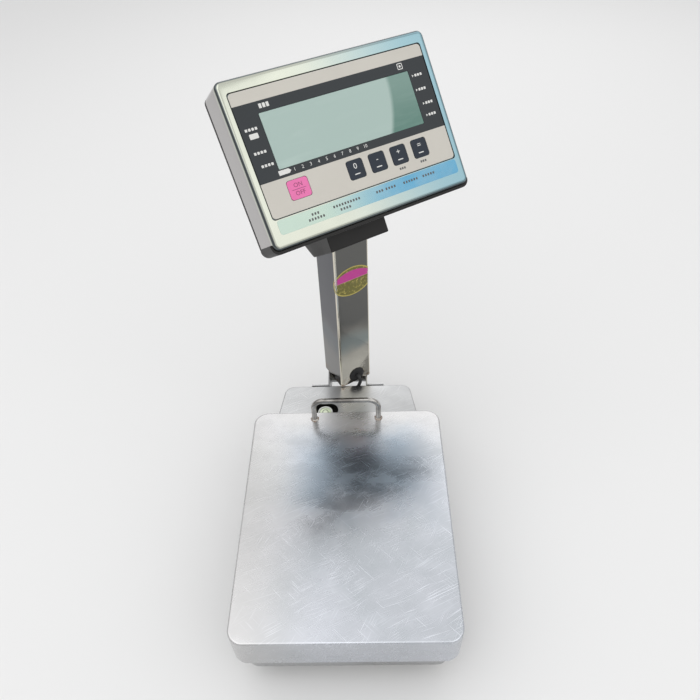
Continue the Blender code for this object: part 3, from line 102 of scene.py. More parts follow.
SCALE_PLACE = Matrix.Translation((PAN_MIDDLE.x, PAN_MIDDLE.y, 0.0))
COLUMN_PLACE = Matrix.Translation((SWIVEL.x, SWIVEL.y, 0.0)) @ Matrix.Rotation(TURN, 4, "Z")
HEAD_PLACE = COLUMN_PLACE @ Matrix.Translation((0.0, 0.0, TILT.z)) @ Matrix.Rotation(-LEAN, 4, "X")
FACE_PLACE = HEAD_PLACE @ Matrix.Translation((0.0, -0.100, 0.072)) @ Matrix.Rotation(math.radians(90), 4, "X")
HALF = PAN_SIZE.y / 2
REAR_Y = TONGUE_REAR - PAN_MIDDLE.y
CORNERS = ("front_left", "front_right", "rear_left", "rear_right")
KEYS = ("key_power", "key_1", "key_2", "key_3", "key_4")

TONGUE_ROOT, TONGUE_END = 205, 181  # widths of the base's tongue where it starts and at its rear, in mm
BOLT_X, BOLT_DROPS = 41.5 * MM, (6.5 * MM, 40.5 * MM)  # the bracket's bolts: beside the middle, under the top
GLAND_X, GLAND_Z = 12 * MM, 34 * MM
PORT_UP = 14 * MM  # middle of the cable's port over the column's lower end

# The camera: yaw, pitch and roll, its place from the middle of the pan's front edge, its focal length and
# the photograph's width in pixels
CAMERA_ANGLES = (0.0353, 0.7841, -0.0471)
CAMERA_PLACE = (0.0286, -0.2593, 0.6865)
CAMERA_FOCUS, PHOTO_WIDTH = 650.0, 700.0

# Name, place, size and share of the key light's power
LAMPS = (
    ("key_light", (-0.9, -0.5, 1.9), 2.3, 1.0),
    ("fill_light", (1.3, -0.9, 1.2), 1.8, 0.45),
    ("rim_light", (0.3, 1.7, 1.4), 1.8, 0.5),
)


class Extents:
    """The box of a CAD node in the axes of a place."""

    def __init__(self, node, place):
        back = place.inverted()
        corners = [back @ vertex.co for vertex in frame["nodes"][node].data.vertices]
        self.low = Vector([min(corner[axis] for corner in corners) for axis in range(3)])
        self.high = Vector([max(corner[axis] for corner in corners) for axis in range(3)])
        self.size = self.high - self.low
        self.mid = (self.low + self.high) / 2


COVER = Extents("front_cover", FACE_PLACE)
SHEET = Extents("membrane_panel", FACE_PLACE)
WINDOW = Extents("lcd_window", FACE_PLACE)
CASE = Extents("rear_case", FACE_PLACE)
RAIL = Extents("lower_rail", FACE_PLACE)
YOKE = Extents("head_yoke", HEAD_PLACE)
LID = Extents("battery_cover", FACE_PLACE)
TUBE = Extents("column_tube", COLUMN_PLACE)


def millimetres(name, description, default, low=0.0, high=400.0):
    """A size in millimetres, kept in metres."""
    return FloatProperty(
        name=name, description=description, default=default * MM, min=low * MM, max=high * MM,
        unit="LENGTH", subtype="DISTANCE", precision=4
    )


def colour(name, description, default):
    return FloatVectorProperty(
        name=name, description=description, default=default, size=3, min=0.0, max=1.0, subtype="COLOR"
    )


class PanSettings(bpy.types.PropertyGroup):
    """Sizes and colours of the pan and its handle."""

    corner: millimetres("Corner radius", "Radius of the pan's upright corners", 18)
    edge: millimetres("Edge radius", "Radius of the fold round the pan's top", 2.6)
    sheet: millimetres("Sheet", "Thickness of the pan's sheet", 1.2)
    handle_rod: millimetres("Handle rod", "Radius of the handle's rod", 3.4)
    handle_span: millimetres("Handle span", "Distance between the middles of the handle's legs", 86)
    handle_rise: millimetres("Handle rise", "Height of the middle of the bar over the pan", 37)
    handle_bend: millimetres("Handle bend", "Radius of the handle's bends", 14)
    handle_inset: millimetres("Handle inset", "Distance from the handle to the pan's rear edge", 12)
    steel: colour("Pan steel", "Colour of the pan's steel", (0.58, 0.60, 0.645))
    steel_warm: colour("Stained steel", "Colour of the pan's steel where it is stained", (0.47, 0.50, 0.53))


class BaseSettings(bpy.types.PropertyGroup):
    """Sizes and colours of the base, its level and its feet."""

    edge: millimetres("Edge radius", "Radius of the fold round the housing's top", 2)
    sheet: millimetres("Sheet", "Thickness of the housing's sheet", 1.5)
    foot_radius: millimetres("Foot radius", "Radius of a foot's rubber pad", 15)
    foot_height: millimetres("Foot height", "Height of a foot's rubber pad", 10)
    stud_radius: millimetres("Stud radius", "Outer radius of a levelling stud's thread", 4)
    thread_pitch: millimetres("Thread pitch", "Pitch of a levelling stud's thread", 1.25)
    steel: colour("Base steel", "Colour of the base's steel", (0.50, 0.505, 0.51))
    rubber: colour("Rubber", "Colour of the rubber pads", (0.016, 0.016, 0.017))
    liquid: colour("Level liquid", "Colour of the level's liquid", (0.76, 0.86, 0.62))


class ColumnSettings(bpy.types.PropertyGroup):
    """Sizes and colours of the column, its bracket and its cable."""

    wall: millimetres("Wall", "Wall of the column", 1.5)
    edge: millimetres("Edge radius", "Radius of the column's long edges", 3)
    bend: millimetres("Bracket bend", "Outer radius of the bracket's folds", 3.2)
    cable: millimetres("Cable", "Radius of the signal cable", 2.4)
    # The column's steel colours are painted reflections: warm and pale near the foot, dark higher up.
    steel: colour("Column steel", "Colour of the polished column near its foot", (0.52, 0.50, 0.44))
    steel_dark: colour("Column steel, dark", "Colour of the polished column higher up", (0.13, 0.13, 0.125))
    sticker_reach: millimetres("Sticker reach", "Half the length of the sticker, round the column", 29)
    sticker_height: millimetres("Sticker height", "Half the height of the sticker", 22.5)
    sticker_up: millimetres("Sticker height above the pan", "Height of the sticker's middle over the pan",
                            161)
    sticker_upper: colour("Sticker, upper", "Colour of the sticker's upper part", (0.55, 0.045, 0.30))
    sticker_lower: colour("Sticker, lower", "Colour of the sticker's lower part", (0.16, 0.145, 0.03))
    # The gold also paints the sticker's highlights.
    sticker_gold: colour("Sticker, gold", "Colour of the sticker's rim and highlights", (0.50, 0.42, 0.10))


class HeadSettings(bpy.types.PropertyGroup):
    """Sizes and colours of the display head."""

    corner: millimetres("Corner radius", "Radius of the cover's corners", 7)
    edge: millimetres("Edge radius", "Radius round the cover's face", 4.5)
    key_corner: millimetres("Key corner", "Radius of a key's corners", 3)
    sheet: millimetres("Cover sheet", "Thickness of the cover's sheet", 1)
    yoke_wall: millimetres("Yoke wall", "Thickness of the yoke's cheeks", 11.9)
    yoke_front: millimetres("Yoke front", "Distance from the tilt pin forward to the yoke's face", 33.4)
    yoke_face: millimetres("Yoke face", "Thickness of the yoke's front wall", 4)
    yoke_chamfer: millimetres("Yoke chamfer", "Size of the slope under the yoke's rear", 26)
    yoke_rear: millimetres("Yoke rear", "Height of the top of the yoke's rear face over the pin", 14)
    yoke_root: millimetres("Yoke root", "Depth of the yoke's root on the case under the pin", 9)
    pin: millimetres("Tilt pin", "Radius of the tilt pin", 4)
    barrel: millimetres("Barrel", "Radius of the barrel that the pin runs in", 12)
    rail_side: millimetres("Rail side", "Thickness of the rail's guards", 1.8)
    rail_arch: millimetres("Rail arch", "Radius at the guards' ends", 6)
    screw_sides: IntProperty(
        name="Screw sides", description="Sides of a screw's round head", default=24, min=12, max=48
    )
    steel: colour("Cover steel", "Colour of the polished cover", (0.55, 0.57, 0.49))
    plastic: colour("Black plastic", "Colour of the moulded parts", (0.012, 0.0112, 0.0105))
    film: colour("Panel film", "Colour of the panel's light ground", (0.60, 0.575, 0.52))
    band: colour("Panel band", "Colour of the band round the display", (0.022, 0.027, 0.031))
    display: colour("Display", "Colour of the display", (0.36, 0.48, 0.44))
    # The darker display colour is a painted shade over the display's right side.
    display_dark: colour("Display, dark", "Colour of the display's darker side", (0.07, 0.19, 0.15))
    power: colour("Power key", "Colour of the power key", (0.80, 0.17, 0.42))
    key: colour("Keys", "Colour of the other keys", (0.016, 0.024, 0.038))


class StageSettings(bpy.types.PropertyGroup):
    """Light and floor of the stage."""

    floor: colour("Floor", "Colour of the floor", (0.80, 0.80, 0.80))
    key_light: FloatProperty(
        name="Key light", description="Power of the large soft light", default=12.0, min=0.0, max=200.0,
        unit="POWER"
    )
    fill: FloatProperty(
        name="Fill", description="Strength of the light from all round", default=0.86, min=0.0, max=2.0
    )


def settings():
    return bpy.context.scene.scale_settings


# Node graphs


class Graph:
    """A node tree with short calls for the nodes that the finishes and repeats are made of."""

    def __init__(self, tree):
        self.tree = tree

    def feed(self, node, **inputs):
        """Gives a node's inputs values or other nodes' outputs; _0 is the first input."""
        for name, value in inputs.items():
            socket = node.inputs[int(name[1:]) if name[1:].isdigit() else name.replace("_", " ")]
            many = isinstance(value, list) and isinstance(value[0], bpy.types.NodeSocket)
            for one in value if many else [value]:
                if isinstance(one, bpy.types.NodeSocket):
                    self.tree.links.new(one, socket)
                else:
                    socket.default_value = (*one, 1.0) if socket.type == "RGBA" else one
        return node

    def node(self, kind, **values):
        """Adds a node; names in lower case are its own settings, the others its inputs."""
        made = self.tree.nodes.new(kind)
        for name in [name for name in values if name[0].islower()]:
            setattr(made, name, values.pop(name))
        return self.feed(made, **values)

    def maths(self, operation, *values, clamp=False):
        made = self.node("ShaderNodeMath", operation=operation, use_clamp=clamp)
        return self.feed(made, **{f"_{index}": value for index, value in enumerate(values)}).outputs[0]

    plus = functools.partialmethod(maths, "ADD")
    less = functools.partialmethod(maths, "SUBTRACT")
    times = functools.partialmethod(maths, "MULTIPLY")
    over = functools.partialmethod(maths, "DIVIDE")
    larger = functools.partialmethod(maths, "MAXIMUM")
    size_of = functools.partialmethod(maths, "ABSOLUTE")
    scaled = functools.partialmethod(maths, "MULTIPLY_ADD")

    def square(self, value):
        return self.maths("POWER", value, 2.0)

    def ramp(self, value, low, high, start=0.0, end=1.0):
        """A smooth step from start to end while the value goes from low to high."""
        return self.node("ShaderNodeMapRange", interpolation_type="SMOOTHSTEP", Value=value, From_Min=low,
                         From_Max=high, To_Min=start, To_Max=end).outputs[0]

    def fall(self, value, low, high):
        return self.ramp(value, low, high, 1.0, 0.0)

    def band(self, value, rise, fall):
        """One between two places and nought outside them, with a smooth step at each."""
        return self.times(self.ramp(value, *rise), self.fall(value, *fall))

    def mix(self, factor, first, second):
        return self.node("ShaderNodeMix", data_type="RGBA", _0=factor, _6=first, _7=second).outputs[2]

    def noise(self, vector, scale, detail=2.0, roughness=0.5):
        return self.node("ShaderNodeTexNoise", Vector=vector, Scale=scale, Detail=detail,
                         Roughness=roughness).outputs["Fac"]

    def stretched(self, vector, angle, scale):
        """The vector turned about z, then stretched."""
        return self.node("ShaderNodeMapping", Vector=vector, Rotation=(0.0, 0.0, angle),
                         Scale=scale).outputs[0]

    def axes(self, vector):
        return self.node("ShaderNodeSeparateXYZ", Vector=vector).outputs

    def vector(self, **axes):
        return self.node("ShaderNodeCombineXYZ", **axes).outputs[0]

    def bump(self, shader, height, strength, distance=0.0002):
        made = self.node("ShaderNodeBump", Height=height, Strength=strength, Distance=distance)
        self.feed(shader, Normal=made.outputs["Normal"])

    def use(self, maker, **inputs):
        """A shader group at work in this tree; returns its outputs."""
        return self.node("ShaderNodeGroup", node_tree=maker(), **inputs).outputs

    def index(self):
        return self.node("GeometryNodeInputIndex").outputs[0]

    def moved(self, geometry, by):
        return self.node("GeometryNodeTransform", Geometry=geometry, Translation=by).outputs[0]

    def copies(self, points, piece, angle):
        """A real copy of the piece on each point, turned about z."""
        made = self.node("GeometryNodeInstanceOnPoints", Points=points, Instance=piece,
                         Rotation=self.vector(Z=angle))
        return self.real(made.outputs[0])

    def real(self, instances):
        return self.node("GeometryNodeRealizeInstances", _0=instances).outputs[0]

    def paint(self, out, geometry, material):
        """Gives the geometry its material and puts it out."""
        made = self.node("GeometryNodeSetMaterial", Geometry=geometry, Material=material)
        self.feed(out, _0=made.outputs[0])
        return self.tree


def node_group(kind, name, inputs, outputs):
    """An empty group with named sockets: its graph, its inputs as sockets to draw on, its output node."""
    tree = bpy.data.node_groups.new(name, kind)
    for label, socket_kind, default in inputs:
        socket = tree.interface.new_socket(name=label, in_out="INPUT", socket_type="NodeSocket" + socket_kind)
        if default is not None:
            socket.default_value = default
    for label, socket_kind in outputs:
        tree.interface.new_socket(name=label, in_out="OUTPUT", socket_type="NodeSocket" + socket_kind)
    return Graph(tree), tree.nodes.new("NodeGroupInput").outputs, tree.nodes.new("NodeGroupOutput")


def shader_group(name, inputs, outputs):
    return node_group("ShaderNodeTree", name, [("Vector", "Vector", None), *inputs],
                      [(label, "Float") for label in outputs])


# Angle in degrees and stretch along the run, for each run of scratches
SCRATCH_RUNS = ((-24, 11), (-33, 15), (-17, 13), (-28, 18), (44, 24), (-62, 22))


FINISHES = {}


@functools.cache
def scratches():
    """Fine straight scratches in several directions, most of them rising to the right."""
    g, given, out = shader_group("fine_scratches", [("Scale", "Float", 1.0), ("Amount", "Float", 0.5)],
                                 ["Mask"])
    sized = g.node("ShaderNodeVectorMath", operation="SCALE", _0=given["Vector"], Scale=given["Scale"])
    total = None
    for index, (angle, length) in enumerate(SCRATCH_RUNS):
        turned = g.stretched(sized.outputs[0], math.radians(angle), (1.0, 1.0, 1.0))
        streak = g.noise(g.stretched(turned, 0.0, (length, 1150.0, 700.0)), 1.0, 0.0)
        patch = g.ramp(g.noise(turned, 18.0 + 7 * index, 1.0), 0.40, 0.66)
        kept = g.times(g.ramp(streak, 0.69, 0.80), patch)
        total = kept if total is None else g.larger(total, kept)
    g.feed(out, Mask=g.times(total, given["Amount"]))
    return g.tree


@functools.cache
def smudges():
    """Broad cloudy marks and finer spots, as left by wiping and water."""
    g, given, out = shader_group("wiped_marks", [("Scale", "Float", 1.0)], ["Clouds", "Spots", "Wipes"])
    sized = g.node("ShaderNodeVectorMath", operation="SCALE", _0=given["Vector"], Scale=given["Scale"])
    vector = sized.outputs[0]
    wiped = g.stretched(vector, -0.45, (14.0, 26.0, 20.0))
    g.feed(out, Clouds=g.ramp(g.noise(vector, 9.0, 4.0, 0.6), 0.35, 0.68),
           Spots=g.ramp(g.noise(vector, 150.0), 0.66, 0.78),
           Wipes=g.ramp(g.noise(wiped, 1.0, 4.0, 0.6), 0.36, 0.68))
    return g.tree


@functools.cache
def grain():
    """Fine even grain of a moulded or cast surface."""
    g, given, out = shader_group("fine_grain", [("Scale", "Float", 1500.0)], ["Height", "Clouds"])
    g.feed(out, Height=g.noise(given["Vector"], given["Scale"], 2.0, 0.6),
           Clouds=g.ramp(g.noise(given["Vector"], 22.0, 3.0), 0.35, 0.7))
    return g.tree


@functools.cache
def polishing_lines():
    """Straight polishing lines along the surface's own x."""
    g, given, out = shader_group("brushed_lines", [], ["Height"])
    g.feed(out, Height=g.noise(g.stretched(given["Vector"], 0.0, (14.0, 2600.0, 2600.0)), 1.0))
    return g.tree


def new_finish(name, own=True):
    """A material: itself, its graph, its shader and the vector that its patterns follow."""
    material = bpy.data.materials.new(name)
    material.use_nodes = True
    g = Graph(material.node_tree)
    if own:
        place = g.node("ShaderNodeAttribute", attribute_name="own").outputs["Vector"]
    else:
        place = g.node("ShaderNodeTexCoord").outputs["Object"]
    return material, g, g.tree.nodes["Principled BSDF"], place


# What a scratch does to brightness, relief and roughness, and a water spot to roughness
SCRATCH_BRIGHT, SCRATCH_RELIEF, SCRATCH_ROUGH, SPOT_ROUGH = 1.35, -0.4, 0.16, 0.05


def steel(name, clean, stained, rough, scratch, own=True, brushed=0.0, spread=0.12, scale=1.0, stain=0.6,
          extra=None):
    """Stainless sheet: wiped marks, stains, scratches and, where asked, polishing lines."""
    if name in FINISHES:
        return FINISHES[name]
    material, g, shader, place = new_finish(name, own)
    marks = g.use(smudges, Vector=place, Scale=scale)
    scored = g.use(scratches, Vector=place, Scale=scale, Amount=scratch)["Mask"]
    tint = g.mix(g.times(marks["Clouds"], stain), clean, stained)
    tint = g.mix(scored, tint, [min(1.0, value * SCRATCH_BRIGHT) for value in clean])
    if extra:
        # Extra tints from the caller: painted reflections and highlights, and rust on the column.
        tint = extra(g, place, tint)
    spotted = g.plus(g.scaled(marks["Wipes"], spread, rough), g.times(marks["Spots"], SPOT_ROUGH))
    height = g.times(scored, SCRATCH_RELIEF)
    if brushed:
        lines = g.use(polishing_lines, Vector=place)["Height"]
        height = g.plus(height, g.times(lines, brushed))
    g.feed(shader, Base_Color=tint, Metallic=1.0,
           Roughness=g.maths("ADD", spotted, g.times(scored, SCRATCH_ROUGH), clamp=True))
    g.bump(shader, height, 0.18, 0.00006)
    FINISHES[name] = material
    return material


def moulded(name, tint, rough, relief, own=True, scale=1500.0, dust=0.10, shine_level=0.5):
    """Moulded plastic or rubber: fine grain, a little dust and uneven gloss."""
    if name in FINISHES:
        return FINISHES[name]
    material, g, shader, place = new_finish(name, own)
    texture = g.use(grain, Vector=place, Scale=scale)
    pale = [value * 0.6 + 0.10 for value in tint]
    g.feed(shader, Base_Color=g.mix(g.times(texture["Clouds"], dust), tint, pale),
           Roughness=g.scaled(texture["Clouds"], 0.14, rough), Specular_IOR_Level=shine_level)
    g.bump(shader, texture["Height"], relief, 0.00012)
    FINISHES[name] = material
    return material


# Mesh making

def own_coordinates(mesh):
    """Keeps the piece's own coordinates for its material."""
    held = mesh.attributes.get("own") or mesh.attributes.new("own", "FLOAT_VECTOR", "POINT")
    flat = [value for vertex in mesh.vertices for value in vertex.co]
    held.data.foreach_set("vector", flat)


def settle(name, mesh, material, place, body, covers=(), smooth=32, keep_own=False):
    """Makes the finished object: its own coordinates kept, its place in its mesh, riding on its body."""
    if not keep_own:
        own_coordinates(mesh)
    mesh.transform(place)
    mesh.update()
    mesh.materials.clear()
    mesh.materials.append(material)
    if smooth:
        mesh.shade_smooth()
        mesh.set_sharp_from_angle(angle=math.radians(smooth))
        mesh = apply_modifiers(mesh, [("WEIGHTED_NORMAL", {"keep_sharp": True})])
    mesh.name = name
    piece = helper_object(mesh, name)
    if body:
        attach(piece, body)
    if covers:
        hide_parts(*covers)
    return piece


def to_mesh(bm):
    """The bmesh as a mesh, its faces looking out."""
    bmesh.ops.recalc_face_normals(bm, faces=bm.faces)
    mesh = bpy.data.meshes.new("piece")
    bm.to_mesh(mesh)
    bm.free()
    return mesh


def evaluated_mesh(helper):
    """The helper object's finished mesh; the helper is removed."""
    bpy.context.view_layer.update()
    graph = bpy.context.evaluated_depsgraph_get()
    mesh = bpy.data.meshes.new_from_object(helper.evaluated_get(graph))
    data = helper.data
    bpy.data.objects.remove(helper, do_unlink=True)
    if not data.users:
        (bpy.data.meshes if isinstance(data, bpy.types.Mesh) else bpy.data.curves).remove(data)
    return mesh


def helper_object(data, name="helper"):
    helper = bpy.data.objects.new(name, data)
    bpy.context.scene.collection.objects.link(helper)
    return helper


def apply_modifiers(mesh, modifiers):
    """Runs a list of (type, settings) modifiers over a mesh and returns the result."""
    helper = helper_object(mesh)
    for kind, values in modifiers:
        modifier = helper.modifiers.new(kind.lower(), kind)
        for key, value in values.items():
            setattr(modifier, key, value)
    return evaluated_mesh(helper)


def cut(mesh, cutters):
    """Cuts meshes out of a mesh."""
    helper = helper_object(mesh)
    tools = [helper_object(cutter, "tool") for cutter in cutters]
    for tool in tools:
        modifier = helper.modifiers.new("cut", "BOOLEAN")
        modifier.operation = "DIFFERENCE"
        modifier.object = tool
        modifier.solver = "EXACT"
    result = evaluated_mesh(helper)
    for tool in tools:
        bpy.data.objects.remove(tool, do_unlink=True)
    return result


def arc(corner, before, after, radius, steps):
    corner = Vector(corner)
    back = (Vector(before) - corner).normalized()
    ahead = (Vector(after) - corner).normalized()
    opening = back.angle(ahead)
    if radius <= 0.0 or opening > math.radians(179):
        return [tuple(corner)]
    reach = radius / math.tan(opening / 2)
    centre = corner + (back + ahead).normalized() * radius / math.sin(opening / 2)
    start = corner + back * reach - centre
    side = 1.0 if back.x * ahead.y - back.y * ahead.x < 0 else -1.0
    turn = side * (math.pi - opening)
    return [tuple(centre + Matrix.Rotation(turn * step / steps, 2) @ start) for step in range(steps + 1)]


def outline(corners, steps):
    """Points round an outline from (x, y, radius) corners."""
    points = []
    count = len(corners)
    for index, (x, y, radius) in enumerate(corners):
        points.extend(arc((x, y), corners[index - 1][:2], corners[(index + 1) % count][:2], radius, steps))
    return points


def rectangle(width, height, radius, centre=(0.0, 0.0), steps=8):
    x, y = centre
    corners = ((-1, -1), (1, -1), (1, 1), (-1, 1))
    return outline([(x + sx * width / 2, y + sy * height / 2, radius) for sx, sy in corners], steps)


def circle(radius, centre=(0.0, 0.0), sides=48):
    turns = [math.tau * step / sides for step in range(sides)]
    return [(centre[0] + radius * math.cos(angle), centre[1] + radius * math.sin(angle)) for angle in turns]


def welded(curve, gap):
    """The filled shape of a curve or text as a bmesh, its doubled points merged."""
    mesh = evaluated_mesh(helper_object(curve))
    bm = bmesh.new()
    bm.from_mesh(mesh)
    bpy.data.meshes.remove(mesh)
    bmesh.ops.remove_doubles(bm, verts=bm.verts, dist=gap)
    return bm


def bevel(bm, edges, offset, segments):
    bmesh.ops.bevel(bm, geom=edges, offset=offset, offset_type="OFFSET", segments=segments, profile=0.5,
                    affect="EDGES")


def plate(points, low, high, holes=(), edge=0.0, under=0.0, segments=3):
    """A flat outline with holes between two heights, its upper and lower rims rounded by edge and under."""
    curve = bpy.data.curves.new("outline", "CURVE")
    curve.dimensions = "2D"
    curve.fill_mode = "BOTH"
    curve.extrude = (high - low) / 2
    for ring in (points, *holes):
        spline = curve.splines.new("POLY")
        spline.points.add(len(ring) - 1)
        for target, (x, y) in zip(spline.points, ring):
            target.co = (x, y, 0.0, 1.0)
        spline.use_cyclic_u = True
    bm = welded(curve, OUTLINE_GAP)
    bmesh.ops.translate(bm, vec=(0.0, 0.0, (high + low) / 2), verts=bm.verts)
    bmesh.ops.dissolve_limit(bm, angle_limit=0.001, verts=bm.verts, edges=bm.edges)
    bmesh.ops.recalc_face_normals(bm, faces=bm.faces)
    for level, radius in ((high, edge), (low, under)):
        if radius > 0.0:
            rim = [
                e for e in bm.edges
                if all(abs(v.co.z - level) < SAME_PLACE for v in e.verts)
                and any(abs(f.normal.z) < 0.5 for f in e.link_faces)
            ]
            bevel(bm, rim, radius, segments)
    return to_mesh(bm)


def block(low, high, edge=0.0):
    """A box between two corners with rounded edges."""
    low, high = Vector(low), Vector(high)
    bm = bmesh.new()
    bmesh.ops.create_cube(bm, size=1.0)
    bmesh.ops.scale(bm, vec=high - low, verts=bm.verts)
    bmesh.ops.translate(bm, vec=(low + high) / 2, verts=bm.verts)
    if edge > 0.0:
        bevel(bm, list(bm.edges), edge, 2)
    return to_mesh(bm)


def bridge(bm, loops):
    """Faces between each loop of points and the next."""
    for first, second in zip(loops, loops[1:]):
        for i in range(len(first)):
            j = (i + 1) % len(first)
            bm.faces.new((first[i], first[j], second[j], second[i]))


def lathe(profile, sides):
    """Turns closed (radius, height) points about local z; points on the axis close it."""
    bm = bmesh.new()
    rings = []
    for radius, height in profile:
        ring = circle(radius, sides=sides) if radius > SAME_PLACE else [(0.0, 0.0)]
        rings.append([bm.verts.new((x, y, height)) for x, y in ring])
    if len(rings[0]) > 1 and len(rings[-1]) > 1:
        rings.append(rings[0])
    for first, second in zip(rings, rings[1:]):
        if len(first) == len(second) == sides:
            bridge(bm, [first, second])
            continue
        for i in range(sides):
            j = (i + 1) % sides
            if len(second) > 1:
                bm.faces.new((first[0], second[i], second[j]))
            elif len(first) > 1:
                bm.faces.new((first[i], first[j], second[0]))
    return to_mesh(bm)


def spline_through(knots, steps):
    """Smooth points through the knots."""
    knots = [Vector(k) for k in knots]
    padded = [knots[0] * 2 - knots[1]] + knots + [knots[-1] * 2 - knots[-2]]
    line = []
    for index in range(1, len(padded) - 2):
        before, start, end, after = padded[index - 1:index + 3]
        for step in range(steps):
            t = step / steps
            line.append(0.5 * (
                2 * start + (end - before) * t + (2 * before - 5 * start + 4 * end - after) * t ** 2
                + (3 * start - before - 3 * end + after) * t ** 3
            ))
    line.append(knots[-1])
    return line


def drilled(radius, reach, place, sides):
    """A round cutter along the place's z, as long as twice its reach."""
    return moved(lathe([(0, reach), (radius, reach), (radius, -reach), (0, -reach)], sides), place)


def tube(points, radius, sides):
    """A round bar along points, with its ends closed; own coordinates run along and round it."""
    points = [Vector(point) for point in points]
    bm = bmesh.new()
    along = bm.verts.layers.float_vector.new("own")
    across = (points[1] - points[0]).normalized().orthogonal().normalized()
    rings = []
    travelled = 0.0
    for index, point in enumerate(points):
        ahead = points[min(index + 1, len(points) - 1)] - points[max(index - 1, 0)]
        ahead.normalize()
        across = (across - ahead * across.dot(ahead)).normalized()
        over = ahead.cross(across)
        if index:
            travelled += (point - points[index - 1]).length
        ring = []
        for a, b in circle(radius, sides=sides):
            vertex = bm.verts.new(point + across * a + over * b)
            vertex[along] = (travelled, a, b)
            ring.append(vertex)
        rings.append(ring)
    bridge(bm, rings)
    bm.faces.new(rings[0][::-1])
    bm.faces.new(rings[-1])
    return to_mesh(bm)


def joined(meshes):
    """Several meshes as one, each keeping its own coordinates."""
    bm = bmesh.new()
    for mesh in meshes:
        bm.from_mesh(mesh)
        bpy.data.meshes.remove(mesh)
    result = bpy.data.meshes.new("piece")
    bm.to_mesh(result)
    bm.free()
    return result


def moved(mesh, matrix):
    mesh.transform(matrix)
    return mesh


def shift(x=0.0, y=0.0, z=0.0):
    return Matrix.Translation((x, y, z))


def turn(axis, degrees):
    return Matrix.Rotation(math.radians(degrees), 4, axis)


FOLD_STEPS = 6


def pressed_shell(size, corner, edge, wall, recess=(), steps=12):
    """A sheet box, its face at z = 0 and its back open; recess rings press a pocket into its face."""
    width, height, depth = size

    def walls(inset, top, fillet):
        """Rings up the wall and round its fold: of the outside, or of the inside set in by the sheet."""
        rings = [(width - 2 * inset, height - 2 * inset, corner - inset, 0.0, 0.0, z)
                 for z in (-depth, -depth / 2)]
        for step in range(FOLD_STEPS + 1):
            angle = math.radians(90) * step / FOLD_STEPS
            drawn = inset + fillet * (1 - math.cos(angle))
            rings.append((width - 2 * drawn, height - 2 * drawn, corner - drawn, 0.0, 0.0,
                          top - fillet * (1 - math.sin(angle))))
        return rings

    outside = walls(0.0, 0.0, edge) + list(recess)
    inside = walls(wall, -wall, edge - wall) + [(*ring[:5], ring[5] - wall) for ring in recess]
    bm = bmesh.new()
    loops = []
    for w, h, radius, x, y, z in outside[::-1] + inside:
        points = rectangle(w, h, max(radius, 0.2 * MM), (x, y), steps)
        loops.append([bm.verts.new((px, py, z)) for px, py in points])
    bridge(bm, loops)
    bm.faces.new(loops[0])
    bm.faces.new(loops[-1][::-1])
    return to_mesh(bm)


# Repeats made with Geometry Nodes

def geometry_tree(name, inputs):
    return node_group("GeometryNodeTree", name, [("Geometry", "Geometry", None), *inputs],
                      [("Geometry", "Geometry")])


def bake_tree(maker, places, **values):
    """Runs a Geometry Nodes group over points with its inputs set and returns the plain mesh."""
    points = bpy.data.meshes.new("places")
    points.from_pydata([tuple(place) for place in places], [], [])
    helper = helper_object(points)
    modifier = helper.modifiers.new("repeat", "NODES")
    modifier.node_group = maker()
    for item in modifier.node_group.interface.items_tree:
        if item.in_out == "INPUT" and item.name in values:
            modifier[item.identifier] = values[item.name]
    return evaluated_mesh(helper)


@functools.cache
def screw_tree():
    """Dished screw heads with a driver recess, standing on each point along z."""
    g, given, out = geometry_tree("screw_heads", [
        ("Radius", "Float", 0.0036), ("Height", "Float", 0.0016), ("Recess", "Float", 0.0016),
        ("Arms", "Int", 2), ("Sides", "Int", 24), ("Material", "Material", None),
    ])
    radius, height, recess, sides = given["Radius"], given["Height"], given["Recess"], given["Sides"]

    def up(share):
        return g.vector(Z=g.times(height, share))

    dish = g.node("GeometryNodeMeshCone", fill_type="NGON", Vertices=sides, Radius_Bottom=radius,
                  Radius_Top=g.times(radius, 0.62), Depth=g.times(height, 0.6))
    skirt = g.node("GeometryNodeMeshCylinder", fill_type="NGON", Vertices=sides, Radius=radius,
                   Depth=g.times(height, 0.4))
    body = g.node("GeometryNodeMeshBoolean", operation="UNION", solver="EXACT", Mesh_2=[
        g.moved(dish.outputs["Mesh"], up(0.4)), g.moved(skirt.outputs["Mesh"], up(0.2)),
    ])
    arm_size = g.vector(X=g.times(recess, 2.0), Y=g.times(recess, 0.42), Z=height)
    arm = g.node("GeometryNodeMeshCube", Size=arm_size)
    spots = g.node("GeometryNodeMeshLine", mode="OFFSET", Count=given["Arms"], Offset=(0.0, 0.0, 0.0),
                   Start_Location=g.vector(Z=height))
    step = g.over(math.pi, given["Arms"])
    arms = g.copies(spots.outputs["Mesh"], arm.outputs["Mesh"], g.times(g.index(), step))
    carved = g.node("GeometryNodeMeshBoolean", operation="DIFFERENCE", solver="EXACT",
                    Mesh_1=body.outputs["Mesh"], Mesh_2=arms, Self_Intersection=True)
    heads = g.copies(given["Geometry"], carved.outputs["Mesh"], g.times(g.index(), 0.7))
    return g.paint(out, heads, given["Material"])


def screw_heads(places, radius, height, recess, arms, sides, material):
    return bake_tree(screw_tree, places, Radius=radius, Height=height, Recess=recess, Arms=arms, Sides=sides,
                     Material=material)


